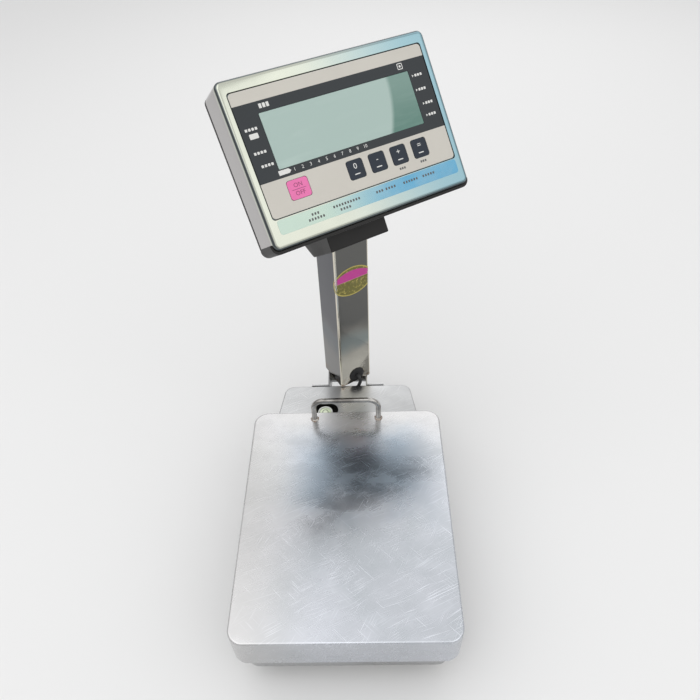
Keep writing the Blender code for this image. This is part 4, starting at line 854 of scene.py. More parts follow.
@functools.cache
def thread_tree():
    """A round core with a helical ridge."""
    g, given, out = geometry_tree("stud_thread", [
        ("Radius", "Float", 0.004), ("Length", "Float", 0.028), ("Turns", "Float", 22.0),
        ("Ridge", "Float", 0.0006), ("Material", "Material", None),
    ])
    length, inner = given["Length"], g.less(given["Radius"], given["Ridge"])
    core = g.node("GeometryNodeMeshCylinder", Vertices=32, Radius=inner, Depth=length)
    helix = g.node("GeometryNodeCurveSpiral", Resolution=20, Rotations=given["Turns"], Start_Radius=inner,
                   End_Radius=inner, Height=g.times(length, 0.96))
    ridge = g.node("GeometryNodeCurvePrimitiveCircle", Resolution=4, Radius=g.times(given["Ridge"], 0.95))
    sweep = g.node("GeometryNodeCurveToMesh", Curve=helix.outputs[0], Profile_Curve=ridge.outputs[0],
                   Fill_Caps=True)
    both = g.node("GeometryNodeJoinGeometry", _0=[
        g.moved(core.outputs["Mesh"], g.vector(Z=g.times(length, 0.5))),
        g.moved(sweep.outputs[0], (0.0, 0.0, 0.0004)),
    ])
    return g.paint(out, g.real(both.outputs[0]), given["Material"])


@functools.cache
def rib_tree():
    """Small blocks set round z at even angles."""
    g, given, out = geometry_tree("ring_of_ribs", [
        ("Count", "Int", 24), ("Radius", "Float", 0.012), ("Size", "Vector", (0.001, 0.001, 0.004)),
        ("Material", "Material", None),
    ])
    rib = g.node("GeometryNodeMeshCube", Size=given["Size"])
    ring = g.node("GeometryNodeMeshCircle", Vertices=given["Count"], Radius=given["Radius"])
    angle = g.times(g.index(), g.over(math.tau, given["Count"]))
    ribs = g.copies(ring.outputs["Mesh"], rib.outputs["Mesh"], angle)
    return g.paint(out, ribs, given["Material"])


def ring_of_ribs(count, radius, size, material):
    return bake_tree(rib_tree, [ORIGIN], Count=count, Radius=radius, Size=size, Material=material)


# Finishes: tints that stand for what the metal reflected, and the rust
PAN_BLUE_REFLECTION, PAN_WARM_REFLECTION = (0.30, 0.37, 0.44), (0.56, 0.53, 0.49)
COLUMN_BAND_REFLECTION, COLUMN_LEFT_REFLECTION, COLUMN_CORNER_HIGHLIGHT = (0.21, 0.27, 0.28), (0.055, 0.058, 0.075), (0.85, 0.80, 0.68)
COVER_SIDE_REFLECTION, COVER_TEAL_REFLECTION, COVER_FOLD_REFLECTION = (0.42, 0.405, 0.40), (0.17, 0.34, 0.42), (0.07, 0.085, 0.095)
RUST = (0.20, 0.085, 0.03)


def pan_steel():
    """Satin steel, with painted reflections: bluer over the middle of its rear half and warmer along its rear
    and left.
    """
    pan = settings().pan

    def shaded(g, place, tint):
        x, y = g.axes(place)[:2]
        # Painted reflection: a blue patch over the middle of the rear half.
        drift = g.scaled(g.noise(place, 13.0, 3.0), 0.10, y)
        reach = g.size_of(g.less(x, 0.018))
        blue_reflection = g.times(g.band(drift, (0.03, 0.09), (0.13, 0.19)), g.fall(reach, 0.04, 0.11))
        tint = g.mix(g.times(blue_reflection, 0.85), tint, PAN_BLUE_REFLECTION)
        # Painted reflection: warmer along the rear and left, outside the blue patch.
        edge = g.larger(g.ramp(y, 0.05, 0.16), g.fall(x, -0.12, -0.02))
        return g.mix(g.times(g.times(edge, g.less(1.0, blue_reflection)), 0.5), tint, PAN_WARM_REFLECTION)

    return steel("pan_steel", pan.steel, pan.steel_warm, rough=0.22, scratch=0.75, spread=0.10, stain=0.8,
                 extra=shaded)


def base_steel():
    base = settings().base
    return steel("base_steel", base.steel, [v * 0.72 for v in base.steel], rough=0.27, scratch=0.5)


def column_steel():
    """Mirror-polished steel with painted reflections: darker from half way up with a blue band below, darker
    on its left face, and painted highlights along its corners; rust at its foot.
    """
    column = settings().column

    def shaded(g, place, tint):
        x, y, z = g.axes(place)
        # Painted dark reflection from half way up, with a painted blue reflection band below it.
        drift = g.scaled(g.noise(place, 16.0), 0.06, z)
        tint = g.mix(g.ramp(drift, 0.15, 0.235), tint, column.steel_dark)
        band = g.band(drift, (0.17, 0.19), (0.19, 0.215))
        tint = g.mix(g.times(band, 0.6), tint, COLUMN_BAND_REFLECTION)
        # Painted dark reflection on the left face.
        left = g.fall(x, TUBE.low.x + 0.0006, TUBE.low.x + 0.0022)
        tint = g.mix(g.times(left, 0.7), tint, COLUMN_LEFT_REFLECTION)
        # Painted highlights along the four long corners.
        beside = [g.ramp(g.size_of(axis), TUBE.high.x - 0.0030, TUBE.high.x - 0.0018) for axis in (x, y)]
        tint = g.mix(g.times(g.times(*beside), 0.9), tint, COLUMN_CORNER_HIGHLIGHT)
        spots = g.ramp(g.noise(place, 260.0, 4.0, 0.7), 0.50, 0.62)
        return g.mix(g.times(g.fall(z, 0.082, 0.098), spots), tint, RUST)

    return steel("column_steel", column.steel, [v * 0.85 for v in column.steel], rough=0.07, scratch=0.25,
                 spread=0.08, extra=shaded)


def cover_steel():
    """Polished steel, cream to the left of its front, with painted reflections: teal to the right of its
    front, greyer sides and a dark line at its fold.
    """
    head = settings().head

    def shaded(g, place, tint):
        x, _, z = g.axes(place)
        under = g.less(COVER.high.z, z)
        front = g.fall(under, 0.004, 0.010)
        # Painted reflections: the sides greyer and the front teal towards the right.
        tint = g.mix(g.less(1.0, front), tint, COVER_SIDE_REFLECTION)
        tint = g.mix(g.times(g.times(g.ramp(x, -0.06, 0.12), 0.8), front), tint, COVER_TEAL_REFLECTION)
        # Painted dark reflection along the fold round the face.
        fold = g.band(under, (0.0004, 0.0010), (0.0030, 0.0046))
        return g.mix(g.times(fold, 0.92), tint, COVER_FOLD_REFLECTION)

    return steel("cover_steel", head.steel, [v * 0.86 for v in head.steel], rough=0.07, scratch=0.15,
                 spread=0.07, extra=shaded)


def named(name, own):
    """The finish's name; CAD nodes have no coordinates of their own and take a second version of it."""
    return name if own else name + "_inside"


def zinc(own=True):
    return steel(named("zinc_plate", own), (0.52, 0.52, 0.50), (0.40, 0.39, 0.34), rough=0.33, scratch=0.3,
                 own=own)


def aluminium():
    return steel("milled_aluminium_inside", (0.60, 0.61, 0.62), (0.47, 0.48, 0.49), rough=0.36,
                 scratch=0.25, own=False, brushed=0.5)


def black_plastic(own=True):
    return moulded(named("black_plastic", own), settings().head.plastic, 0.36, 0.25, own, dust=0.05,
                   shine_level=0.3)


def rubber(own=True):
    return moulded(named("black_rubber", own), settings().base.rubber, 0.62, 0.22, own, scale=900.0,
                   dust=0.22)


def ink(name, tint, rough=0.45, dust=0.10):
    return moulded(name, tint, rough, 0.05, dust=dust)


def white_ink():
    return ink("white_ink", (0.74, 0.74, 0.72))


def grey_ink():
    return ink("grey_ink", (0.10, 0.10, 0.10), dust=0.05)


def dress_nodes(material, *names):
    """Gives carried-over CAD nodes their finish."""
    for name in names:
        node = frame["nodes"][name]
        node.data.materials.clear()
        node.data.materials.append(material)


# Operators: each one builds a piece or a group of like pieces

class SCALE_OT_stage(bpy.types.Operator):
    """Sets the floor, the light round the scale and the camera at the photograph's angle."""

    bl_idname = "scale.stage"
    bl_label = "Stage and camera"

    def execute(self, context):
        stage = settings().stage
        scene = context.scene
        scene.view_settings.view_transform = "Standard"
        self.room(scene, stage)
        bm = bmesh.new()
        bmesh.ops.create_grid(bm, x_segments=1, y_segments=1, size=4.0)
        mesh = bpy.data.meshes.new("floor")
        bm.to_mesh(mesh)
        bm.free()
        floor = helper_object(mesh, "floor")
        material, g, shader, _ = new_finish("pale_floor", own=False)
        g.feed(shader, Base_Color=stage.floor, Roughness=0.9)
        mesh.materials.append(material)
        for name, place, size, share in LAMPS:
            lamp = bpy.data.lights.new(name, "AREA")
            lamp.energy = stage.key_light * share
            lamp.size = size
            holder = helper_object(lamp, name)
            holder.location = place
            aim = Vector((0.0, 0.0, 0.15)) - Vector(place)
            holder.rotation_euler = aim.to_track_quat("-Z", "Y").to_euler()
        self.set_camera(scene)
        return {"FINISHED"}

    def set_camera(self, scene):
        """The camera as solved from the photograph."""
        yaw, pitch, roll = CAMERA_ANGLES
        reach = math.cos(pitch)
        forward = Vector((-math.sin(yaw) * reach, math.cos(yaw) * reach, -math.sin(pitch)))
        right = Vector((math.cos(yaw), math.sin(yaw), 0.0))
        up = right.cross(forward)
        level = math.cos(roll) * right + math.sin(roll) * up
        upright = -math.sin(roll) * right + math.cos(roll) * up
        data = bpy.data.cameras.new("photo_camera")
        data.sensor_width = 36.0
        data.lens = data.sensor_width * CAMERA_FOCUS / PHOTO_WIDTH
        data.clip_start = 0.01
        camera = helper_object(data, "photo_camera")
        place = Vector((PAN_MIDDLE.x, PAN_MIDDLE.y - HALF, PAN_TOP)) + Vector(CAMERA_PLACE)
        facing = Matrix((level, upright, -forward)).transposed().to_4x4()
        camera.matrix_world = Matrix.Translation(place) @ facing
        scene.camera = camera

    def room(self, scene, stage):
        """Soft light from all round; the camera and the reflections see the room at full strength."""
        world = bpy.data.worlds.new("soft_room")
        scene.world = world
        world.use_nodes = True
        g = Graph(world.node_tree)
        g.tree.nodes.clear()
        z = g.axes(g.node("ShaderNodeTexCoord").outputs["Generated"])[2]
        height = g.ramp(z, -0.05, 0.75, 0.50, 1.0)
        lit = g.node("ShaderNodeBackground", Strength=stage.fill, Color=height)
        backdrop = g.node("ShaderNodeBackground", Strength=1.0, Color=height)
        rays = g.node("ShaderNodeLightPath").outputs
        seen = g.larger(g.larger(rays["Is Camera Ray"], rays["Is Glossy Ray"]), rays["Is Transmission Ray"])
        choose = g.node("ShaderNodeMixShader", _0=seen, _1=lit.outputs[0], _2=backdrop.outputs[0])
        g.node("ShaderNodeOutputWorld", Surface=choose.outputs[0])


class SCALE_OT_pan(bpy.types.Operator):
    """Builds the pressed pan with its skirt, and the welded handle."""

    bl_idname = "scale.pan"
    bl_label = "Pan and handle"

    def execute(self, context):
        pan = settings().pan
        place = SCALE_PLACE @ shift(z=PAN_TOP)
        shell = pressed_shell(PAN_SIZE, pan.corner, pan.edge, pan.sheet, steps=14)
        half = (TONGUE_ROOT / 2 + 7) * MM
        notch = block((-half, HALF - pan.corner, -PAN_SIZE.z - 0.001), (half, HALF + 0.001, -0.027))
        settle("weighing_pan", cut(shell, [notch]), pan_steel(), place, "pan", ["pan"])
        rod, bend, rise = pan.handle_rod, pan.handle_bend, pan.handle_rise
        y = HALF - pan.handle_inset
        side = pan.handle_span / 2
        leg = [0.0002 + rise * step / 30 for step in range(18)]
        points = [(-side, y, z) for z in leg]
        for sign, start in ((-1.0, math.pi), (1.0, math.pi / 2)):
            for step in range(17):
                angle = start - math.pi / 2 * step / 16
                points.append((sign * (side - bend) + bend * math.cos(angle), y,
                               rise - bend + bend * math.sin(angle)))
        points += [(side, y, z) for z in reversed(leg)]
        polished = steel("handle_steel", (0.46, 0.45, 0.43), (0.16, 0.15, 0.14), rough=0.08, scratch=0.3,
                         stain=1.0, scale=2.5)
        settle("pan_handle_bar", tube(points, rod, 24), polished, place, "pan", ["pan_handle"],
               keep_own=True)
        self.welds(side, y, rod)
        return {"FINISHED"}

    def welds(self, side, y, rod):
        """A low uneven weld bead with heat tint and rust round each leg."""
        material, g, shader, place = new_finish("weld_bead")
        marks = g.noise(place, 420.0, 4.0, 0.65)
        rust = g.ramp(marks, 0.45, 0.62)
        g.feed(shader, Base_Color=g.mix(rust, (0.42, 0.40, 0.37), (0.20, 0.075, 0.02)),
               Metallic=g.ramp(marks, 0.45, 0.62, 1.0, 0.25), Roughness=g.ramp(marks, 0.3, 0.7, 0.3, 0.75))
        g.bump(shader, marks, 0.5, 0.0003)
        profile = [(0.00002, 0.0021), (0.0007, 0.0017), (0.0017, 0.0007), (0.0021, 0.0), (0.00002, 0.0)]
        beads = []
        for sign in (-1.0, 1.0):
            bead = lathe([(rod + out, z) for out, z in profile], 40)
            for vertex in bead.vertices:
                angle = math.atan2(vertex.co.y, vertex.co.x)
                swell = 1.0 + 0.10 * math.sin(angle * 7 + sign) + 0.06 * math.sin(angle * 3)
                reach = math.hypot(vertex.co.x, vertex.co.y)
                grown = rod + (reach - rod) * swell
                vertex.co.x *= grown / reach
                vertex.co.y *= grown / reach
                vertex.co.z *= swell
            beads.append(moved(bead, shift(sign * side, y, 0.0)))
        settle("handle_welds", joined(beads), material, SCALE_PLACE @ shift(z=PAN_TOP + 0.00002), "pan")


def bolt_holes(y, reach):
    """Cutters for the four bolts between the bracket and the tongue's rear wall."""
    return [drilled(2.8 * MM, reach, shift(sign * BOLT_X, y, TOP_OF_BASE - drop) @ turn("X", 90), 20)
            for sign in (-1.0, 1.0) for drop in BOLT_DROPS]


def base_corners(inset=0.0):
    """The housing's outline with its tapered tongue."""
    half = extent("base_housing").x / 2 - inset
    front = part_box("base_housing")[0][1] - PAN_MIDDLE.y + inset
    neck = HALF - 4 * MM
    outer = 14 * MM - inset
    right = [(half, front, outer), (half, neck - 30 * MM, outer), (TONGUE_ROOT * MM / 2 - inset, neck, outer),
             (TONGUE_END * MM / 2 - inset, REAR_Y - inset, outer)]
    return right + [(-x, y, r) for x, y, r in reversed(right)]


class SCALE_OT_housing(bpy.types.Operator):
    """Builds the folded base housing with its tapered tongue and the slot over the level."""

    bl_idname = "scale.housing"
    bl_label = "Base housing"

    def execute(self, context):
        base = settings().base
        low, top, reach = FLOOR_OF_BASE, TOP_OF_BASE, 0.005
        outer = plate(outline(base_corners(), 12), low, top, edge=base.edge, segments=4)
        inner = plate(outline(base_corners(base.sheet), 12), low - 0.002, top - base.sheet, edge=0.0005,
                      segments=2)
        # The slot over the level in the tongue, and the square opening for the spider's foot
        slot = plate(rectangle(37.5 * MM, 24.5 * MM, 12.24 * MM, (-32 * MM, REAR_Y - 46.5 * MM), 16),
                     top - reach, top + reach)
        half, y = 21 * MM, 48 * MM
        port = block((-half, y - half, top - reach), (half, y + half, top + reach))
        gland = drilled(5.8 * MM, 0.004, shift(GLAND_X, REAR_Y, GLAND_Z) @ turn("X", 90), 32)
        shell = cut(outer, [inner, slot, port, *bolt_holes(REAR_Y, 0.004), gland])
        settle("housing_cover", shell, base_steel(), SCALE_PLACE, "base", ["base_housing"])
        dress_nodes(zinc(False), "bottom_plate")
        return {"FINISHED"}


class SCALE_OT_feet(bpy.types.Operator):
    """Builds the four rubber feet on their threaded studs."""

    bl_idname = "scale.feet"
    bl_label = "Levelling feet"

    def execute(self, context):
        base = settings().base
        r = base.foot_radius
        h = base.foot_height
        well = 4.3 * MM
        profile = [
            (0.0, h - 6 * MM), (well, h - 6 * MM), (well, h - 0.4 * MM), (well + 0.4 * MM, h), (r * 0.54, h),
            (r * 0.60, h - 0.5 * MM), (r * 0.78, h * 0.80), (r * 0.93, h * 0.56), (r * 0.985, h * 0.36),
            (r, h * 0.24), (r, h * 0.12), (r * 0.97, 0.3 * MM), (r * 0.93, 0.0), (r * 0.80, 0.0),
            (r * 0.78, 0.5 * MM), (r * 0.62, 0.5 * MM), (r * 0.60, 0.0), (r * 0.42, 0.0),
            (r * 0.40, 0.5 * MM), (r * 0.2, 0.5 * MM), (r * 0.18, 0.0), (0.0, 0.0),
        ]
        for name in CORNERS:
            spot = middle("foot_pad_" + name)
            body = "foot_" + name
            settle("foot_cup_" + name, lathe(profile, 56), rubber(), shift(spot.x, spot.y, 0.0), body,
                   ["foot_pad_" + name], smooth=38)
            low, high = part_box("foot_stud_" + name)
            length = high[2] - low[2]
            thread = bake_tree(thread_tree, [ORIGIN], Radius=base.stud_radius, Length=length,
                               Turns=length / base.thread_pitch, Ridge=0.55 * MM, Material=zinc())
            settle("foot_screw_" + name, thread, zinc(), shift(spot.x, spot.y, low[2]), body,
                   ["foot_stud_" + name], smooth=40)
        return {"FINISHED"}


class SCALE_OT_load_train(bpy.types.Operator):
    """Dresses the load cell and its fixings, and builds the spider's screws and the pan's pads."""

    bl_idname = "scale.load_train"
    bl_label = "Load cell and pads"

    def execute(self, context):
        dress_nodes(aluminium(), "load_cell", "platform_spider")
        dress_nodes(zinc(False), "cell_seat", "cell_post")
        for name in CORNERS:
            low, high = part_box("pan_pad_" + name)
            spot = middle("pan_pad_" + name)
            h = high[2] - low[2]
            r = (high[0] - low[0]) / 2
            pad = lathe([
                (0.0, h), (r * 0.80, h), (r * 0.95, h - 0.6 * MM), (r, h - 1.6 * MM), (r, h - 4.6 * MM),
                (r * 0.93, h - 5.6 * MM), (r * 0.70, h - 6.6 * MM), (r * 0.667, h - 7.6 * MM),
                (r * 0.667, 2.4 * MM), (r * 0.72, 1.4 * MM), (r * 0.88, 0.4 * MM), (r * 0.9, 0.0), (0.0, 0.0),
            ], 40)
            settle("pad_rubber_" + name, pad, rubber(), shift(spot.x, spot.y, low[2]), "base",
                   ["pan_pad_" + name])
        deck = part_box("platform_spider")[0][2] + 5 * MM
        places = [(x * MM, y * MM, 0.0) for x in (-9, 9) for y in (39, 57)]
        heads = screw_heads(places, 4.6 * MM, 4.2 * MM, 2.0 * MM, 3, 28, zinc())
        settle("spider_screws", heads, zinc(), SCALE_PLACE @ shift(z=deck), "base")
        return {"FINISHED"}


class SCALE_OT_level(bpy.types.Operator):
    """Builds the round spirit level that shows through the slot."""

    bl_idname = "scale.level"
    bl_label = "Spirit level"

    def execute(self, context):
        base = settings().base
        dress_nodes(black_plastic(False), "level_cup")
        low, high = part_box("level_vial")
        spot = middle("level_vial")
        r = (high[0] - low[0]) / 2
        h = high[2] - low[2]
        material, g, shader, place = new_finish("level_liquid")
        swirl = g.ramp(g.noise(place, 90.0), 0.3, 0.7)
        g.feed(shader, Base_Color=g.mix(swirl, base.liquid, [v * 0.85 for v in base.liquid]), Roughness=0.06,
               Coat_Weight=0.6)
        pieces = (
            ("level_case", moulded("vial_body", (0.74, 0.76, 0.72), 0.30, 0.05, dust=0.05), 56, 0.0, 0.0,
             [(0.0, 0.60), (0.80, 0.60), (0.80, 0.93), (0.84, 1), (0.95, 1), (1, 0.92), (1, 0), (0, 0)]),
            ("level_liquid", material, 48, 0.0, 0.0,
             [(0.0, 0.93), (0.3, 0.922), (0.6, 0.89), (0.77, 0.84), (0.77, 0.62), (0.0, 0.62)]),
            ("level_ring", ink("level_marks", (0.02, 0.02, 0.02), 0.4), 40, 0.0, 0.0,
             [(0.34, 0.935), (0.40, 0.935), (0.40, 0.915), (0.34, 0.915)]),
            ("level_bubble", moulded("level_bubble", (0.86, 0.93, 0.72), 0.05, 0.02, dust=0.0), 32, 0.4, -0.3,
             [(0.0, 0.97), (0.14, 0.96), (0.24, 0.94), (0.26, 0.92), (0.0, 0.91)]),
        )
        for name, finish, sides, dx, dy, profile in pieces:
            mesh = lathe([(r * a, h * b) for a, b in profile], sides)
            settle(name, mesh, finish, shift(spot.x + dx * MM, spot.y + dy * MM, low[2]), "base",
                   ["level_vial"] if name == "level_case" else ())
        return {"FINISHED"}


def on_axis(profile, sides):
    """A turned piece from its (radius, height) points in millimetres."""
    return lathe([(r * MM, z * MM) for r, z in profile], sides)


class SCALE_OT_bracket(bpy.types.Operator):
    """Builds the folded bracket behind the tongue with its bolts, and dresses the swivel inside it."""

    bl_idname = "scale.bracket"
    bl_label = "Column bracket"

    def execute(self, context):
        low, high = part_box("column_bracket")
        sheet, bend = 2 * MM, settings().column.bend
        half = (54 / 2) * MM
        wide = half + sheet
        front = low[1] - PAN_MIDDLE.y
        rear = high[1] - PAN_MIDDLE.y
        far = extent("column_bracket").x / 2
        back = front + sheet
        right = [(wide, rear, bend), (wide, back, bend - sheet), (far, back, 0), (far, front, 0),
                 (half, front, bend), (half, rear - sheet, bend - sheet)]
        left = [(-x, y, radius) for x, y, radius in reversed(right)]
        outside = left[2:] + right + left[:2]
        folded = plate(outline(outside, 6), low[2], high[2], edge=0.25 * MM, under=0.25 * MM, segments=1)
        folded = cut(folded, bolt_holes(front, 0.005))
        settle("bracket_sheet", folded, base_steel(), SCALE_PLACE, "base", ["column_bracket"])
        for row in ("upper", "lower"):
            for side in ("left", "right"):
                node = f"bracket_bolt_{row}_{side}"
                spot = middle(node)
                place = Matrix.Translation((spot.x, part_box(node)[1][1] - 3.5 * MM, spot.z)) @ turn("X", -90)
                head = screw_heads([ORIGIN], 5 * MM, 3.4 * MM, 1.9 * MM, 3, 32, zinc())
                shank = on_axis([(0.0, 0.0), (2.5, 0.0), (2.5, -8.4), (2.0, -9), (0.0, -9)], 24)
                settle("button_" + node, joined([head, shank]), zinc(), place, "base", [node])
        dress_nodes(zinc(False), "pivot_shelf", "pivot_bolt", "pivot_nut")
        dress_nodes(rubber(False), "swivel_washer")
        return {"FINISHED"}


class SCALE_OT_column(bpy.types.Operator):
    """Builds the polished square column with its grommet and the bare sticker on its front, and dresses its
    foot.
    """

    bl_idname = "scale.column"
    bl_label = "Column"

    def execute(self, context):
        column = settings().column
        low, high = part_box("column_tube")
        side = TUBE.size.x
        inner = side - 2 * column.wall
        post = plate(rectangle(side, side, column.edge), low[2], high[2],
                     holes=[rectangle(inner, inner, column.edge - column.wall, steps=6)],
                     edge=0.3 * MM, under=0.3 * MM, segments=1)
        port = shift(1 * MM, -side / 2, low[2] + PORT_UP) @ turn("X", 90)
        post = cut(post, [drilled(10 * MM, 0.006, port, 48)])
        settle("column_post", post, column_steel(), COLUMN_PLACE, "column", ["column_tube"])
        dress_nodes(zinc(False), "column_foot")
        dress_nodes(black_plastic(False), "column_plug")
        dress_nodes(rubber(False), "signal_cable")
        grommet = on_axis([
            (2.7, 1.3), (3.3, 1.6), (7.5, 1.7), (10.2, 1.6), (11.6, 1.1), (12, 0.5), (11.8, 0.3), (9.7, 0.3),
            (9.7, -2.5), (2.7, -2.5),
        ], 56)
        settle("grommet_rubber", grommet, rubber(), COLUMN_PLACE @ port, "column", ["cable_grommet"])
        self.sticker(column, side)
        return {"FINISHED"}

    def sticker(self, column, side):
        """A bare oval sticker that runs round both front edges of the column."""
        rings, spokes = 14, 96
        flat = side / 2 - column.edge
        quarter = math.pi / 2 * column.edge
        lift = 0.03 * MM

        def wrapped(s, z):
            """The place on the column's skin that lies the length s round from the front face's middle."""
            sign = -1.0 if s < 0 else 1.0
            s = abs(s)
            if s < flat:
                return sign * s, -side / 2 - lift, z
            if s < flat + quarter:
                angle = (s - flat) / column.edge
                reach = column.edge + lift
                return sign * (flat + reach * math.sin(angle)), -flat - reach * math.cos(angle), z
            return sign * (side / 2 + lift), -flat + (s - flat - quarter), z

        bm = bmesh.new()
        held = bm.verts.layers.float_vector.new("own")
        loops = []
        for ring in range(1, rings + 1):
            loop = []
            for spoke in range(spokes):
                angle = math.tau * spoke / spokes
                s = column.sticker_reach * ring / rings * math.cos(angle)
                z = column.sticker_height * ring / rings * math.sin(angle)
                vertex = bm.verts.new(wrapped(s, z))
                vertex[held] = (s, z, 0.0)
                loop.append(vertex)
            loops.append(loop)
        bm.faces.new(loops[0])
        for first, second in zip(loops, loops[1:]):
            for i in range(spokes):
                j = (i + 1) % spokes
                bm.faces.new((first[i], second[i], second[j], first[j]))
        skin = to_mesh(bm)
        skin = apply_modifiers(skin, [("SOLIDIFY", {"thickness": 0.06 * MM, "offset": 1.0})])
        place = COLUMN_PLACE @ shift(z=PAN_TOP + column.sticker_up)
        settle("column_sticker", skin, self.foil(column), place, "column", keep_own=True)

    def foil(self, column):
        """Magenta over olive with a gold rim and painted gold highlights, worn and bare of any print."""
        material, g, shader, place = new_finish("sticker_foil")
        x, y = g.axes(place)[:2]
        across = g.over(x, column.sticker_reach)
        up = g.over(y, column.sticker_height)
        bowed = g.scaled(g.square(across), 0.45, up)
        upper = g.times(g.ramp(up, 0.09, 0.12), g.fall(bowed, 0.74, 0.78))
        # Painted highlights: gold spots over the olive part.
        painted_highlights = g.ramp(g.noise(place, 210.0, 4.0, 0.7), 0.52, 0.66)
        foil = g.mix(upper, g.mix(painted_highlights, column.sticker_lower, column.sticker_gold), column.sticker_upper)
        seam = g.fall(g.size_of(g.less(up, 0.105)), 0.0, 0.03)
        foil = g.mix(g.times(seam, 0.5), foil, (0.60, 0.48, 0.30))
        rim = g.ramp(g.plus(g.square(across), g.square(up)), 0.85, 0.88)
        foil = g.mix(rim, foil, column.sticker_gold)
        dust = g.ramp(g.noise(place, 120.0, 4.0, 0.7), 0.5, 0.8)
        g.feed(shader, Base_Color=g.mix(g.times(dust, 0.3), foil, (0.34, 0.27, 0.24)), Roughness=0.28,
               Metallic=0.3)
        g.bump(shader, g.noise(place, 240.0, 3.0), 0.12)
        return material


class SCALE_OT_cable(bpy.types.Operator):
    """Builds the signal cable's free loop and the gland that holds it to the base."""

    bl_idname = "scale.cable"
    bl_label = "Signal cable"

    def execute(self, context):
        column = settings().column
        port_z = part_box("column_tube")[0][2] + PORT_UP
        rear = TONGUE_REAR
        x = PAN_MIDDLE.x + GLAND_X
        z = GLAND_Z

        def near_port(across, out, up):
            """A place by the column's port, in millimetres across, out of its face and up."""
            return COLUMN_PLACE @ Vector((across * MM, TUBE.low.y - out * MM, port_z + up * MM))

        loop = ((0, 2, 0), (0, 10.5, 0), (0, 19.5, 2), (0.3, 24, 9), (1.5, 20, 18), (3, 10, 29))
        knots = [(x + a * MM, rear + b * MM, z + c * MM) for a, b, c in loop]
        knots += [
            (x + 4.6 * MM, rear + 4.4 * MM, TOP_OF_BASE - 4 * MM), near_port(2.5, 8, -9),
            near_port(1.4, 8.6, -2.5), near_port(1, 5, 0.6), near_port(1, 2.5, 0),
        ]
        line = spline_through(knots, 8) + [near_port(1, 0.5, 0)]
        cable = settle("cable_loop", tube(line, column.cable, 20), rubber(), Matrix(), None,
                       ["signal_cable_loop"], keep_own=True)
        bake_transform(cable)
        gland = on_axis([
            (2.7, 10.2), (3.0, 10.5), (4.4, 10.5), (5.4, 9.4), (6.0, 7.6), (6.0, 5.3), (5.3, 5.3), (5.3, 0.3),
            (5.5, 0.3), (5.5, -7.6), (5.0, -8), (2.7, -8),
        ], 48)
        nut = plate(circle(7.5 * MM, sides=6), 0.3 * MM, 5.2 * MM, holes=[circle(5.4 * MM)], edge=0.4 * MM,
                    under=0.4 * MM, segments=2)
        ribs = ring_of_ribs(18, 5.95 * MM, (0.7 * MM, 0.8 * MM, 2.0 * MM), black_plastic())
        place = Matrix.Translation((x, rear, z)) @ turn("X", -90)
        settle("gland_body", joined([gland, nut, moved(ribs, shift(z=6.5 * MM))]), black_plastic(), place,
               "base", ["cable_gland"])
        return {"FINISHED"}


class SCALE_OT_yoke(bpy.types.Operator):
    """Builds the moulded yoke behind the head and the heads of its tilt pin."""

    bl_idname = "scale.yoke"
    bl_label = "Tilt yoke"

    def execute(self, context):
        head = settings().head
        back, half = YOKE.low.y, YOKE.size.x / 2
        lip, rear, top = YOKE.low.z, YOKE.high.y, YOKE.high.z
        front = -head.yoke_front
        wall = front + head.yoke_face
        profile = outline([
            (back, -head.yoke_root, 0.0), (front - 1 * MM, -head.yoke_root - 3 * MM, 3 * MM),
            (front, lip, 2 * MM), (rear - head.yoke_chamfer, lip, 6 * MM),
            (rear, lip + head.yoke_chamfer, 8 * MM), (rear, head.yoke_rear, 6 * MM), (back, top, 0.0),
        ], 8)
        yoke = plate(profile, -half, half, edge=1.2 * MM, under=1.2 * MM, segments=4)
        sill = head.yoke_rear - head.barrel
        roof = head.barrel + 8 * MM
        beyond = rear + 15 * MM
        room = outline([
            (wall, lip - 6 * MM, 0.0), (beyond, lip - 6 * MM, 0.0), (beyond, sill, 0.0),
            (rear - 5 * MM, sill, 2 * MM), (2 * head.barrel, roof, 3 * MM), (wall, roof, 3 * MM),
        ], 6)
        channel = half - head.yoke_wall
        reach = 2 * half
        bore = drilled(head.pin + 0.1 * MM, reach, Matrix(), 32)
        inside, outside, floor = 7.6 * MM, 11.5 * MM, half - 0.5 * MM
        rings = [lathe([(r, side * z) for r, z in ((inside, reach), (outside, reach), (outside, floor),
                                                   (inside, floor))], 48) for side in (1, -1)]
        yoke = cut(yoke, [plate(room, -channel, channel), bore, *rings])
        yoke = moved(yoke, turn("Z", 90) @ turn("X", 90))
        settle("yoke_moulding", yoke, black_plastic(), HEAD_PLACE, "head", ["head_yoke"])
        shank = half + 0.3 * MM
        rivet = [(0.0, 1.1), (2.0, 1.1), (2.3, 2), (5.6, 2), (6.6, 1.5), (7, 0.7), (7, 0), (4, 0)]
        points = [(r * MM, shank + z * MM) for r, z in rivet]
        pin = lathe(points + [(r, -z) for r, z in reversed(points)], 40)
        settle("tilt_pin_rivet", moved(pin, turn("Y", 90)), zinc(), HEAD_PLACE, "head", ["tilt_pin"])
        return {"FINISHED"}


def around(box, more, radius, steps=8):
    """The outline of a box on the face, wider and higher by so much."""
    return rectangle(box.size.x + more, box.size.y + more, radius, box.mid[:2], steps)


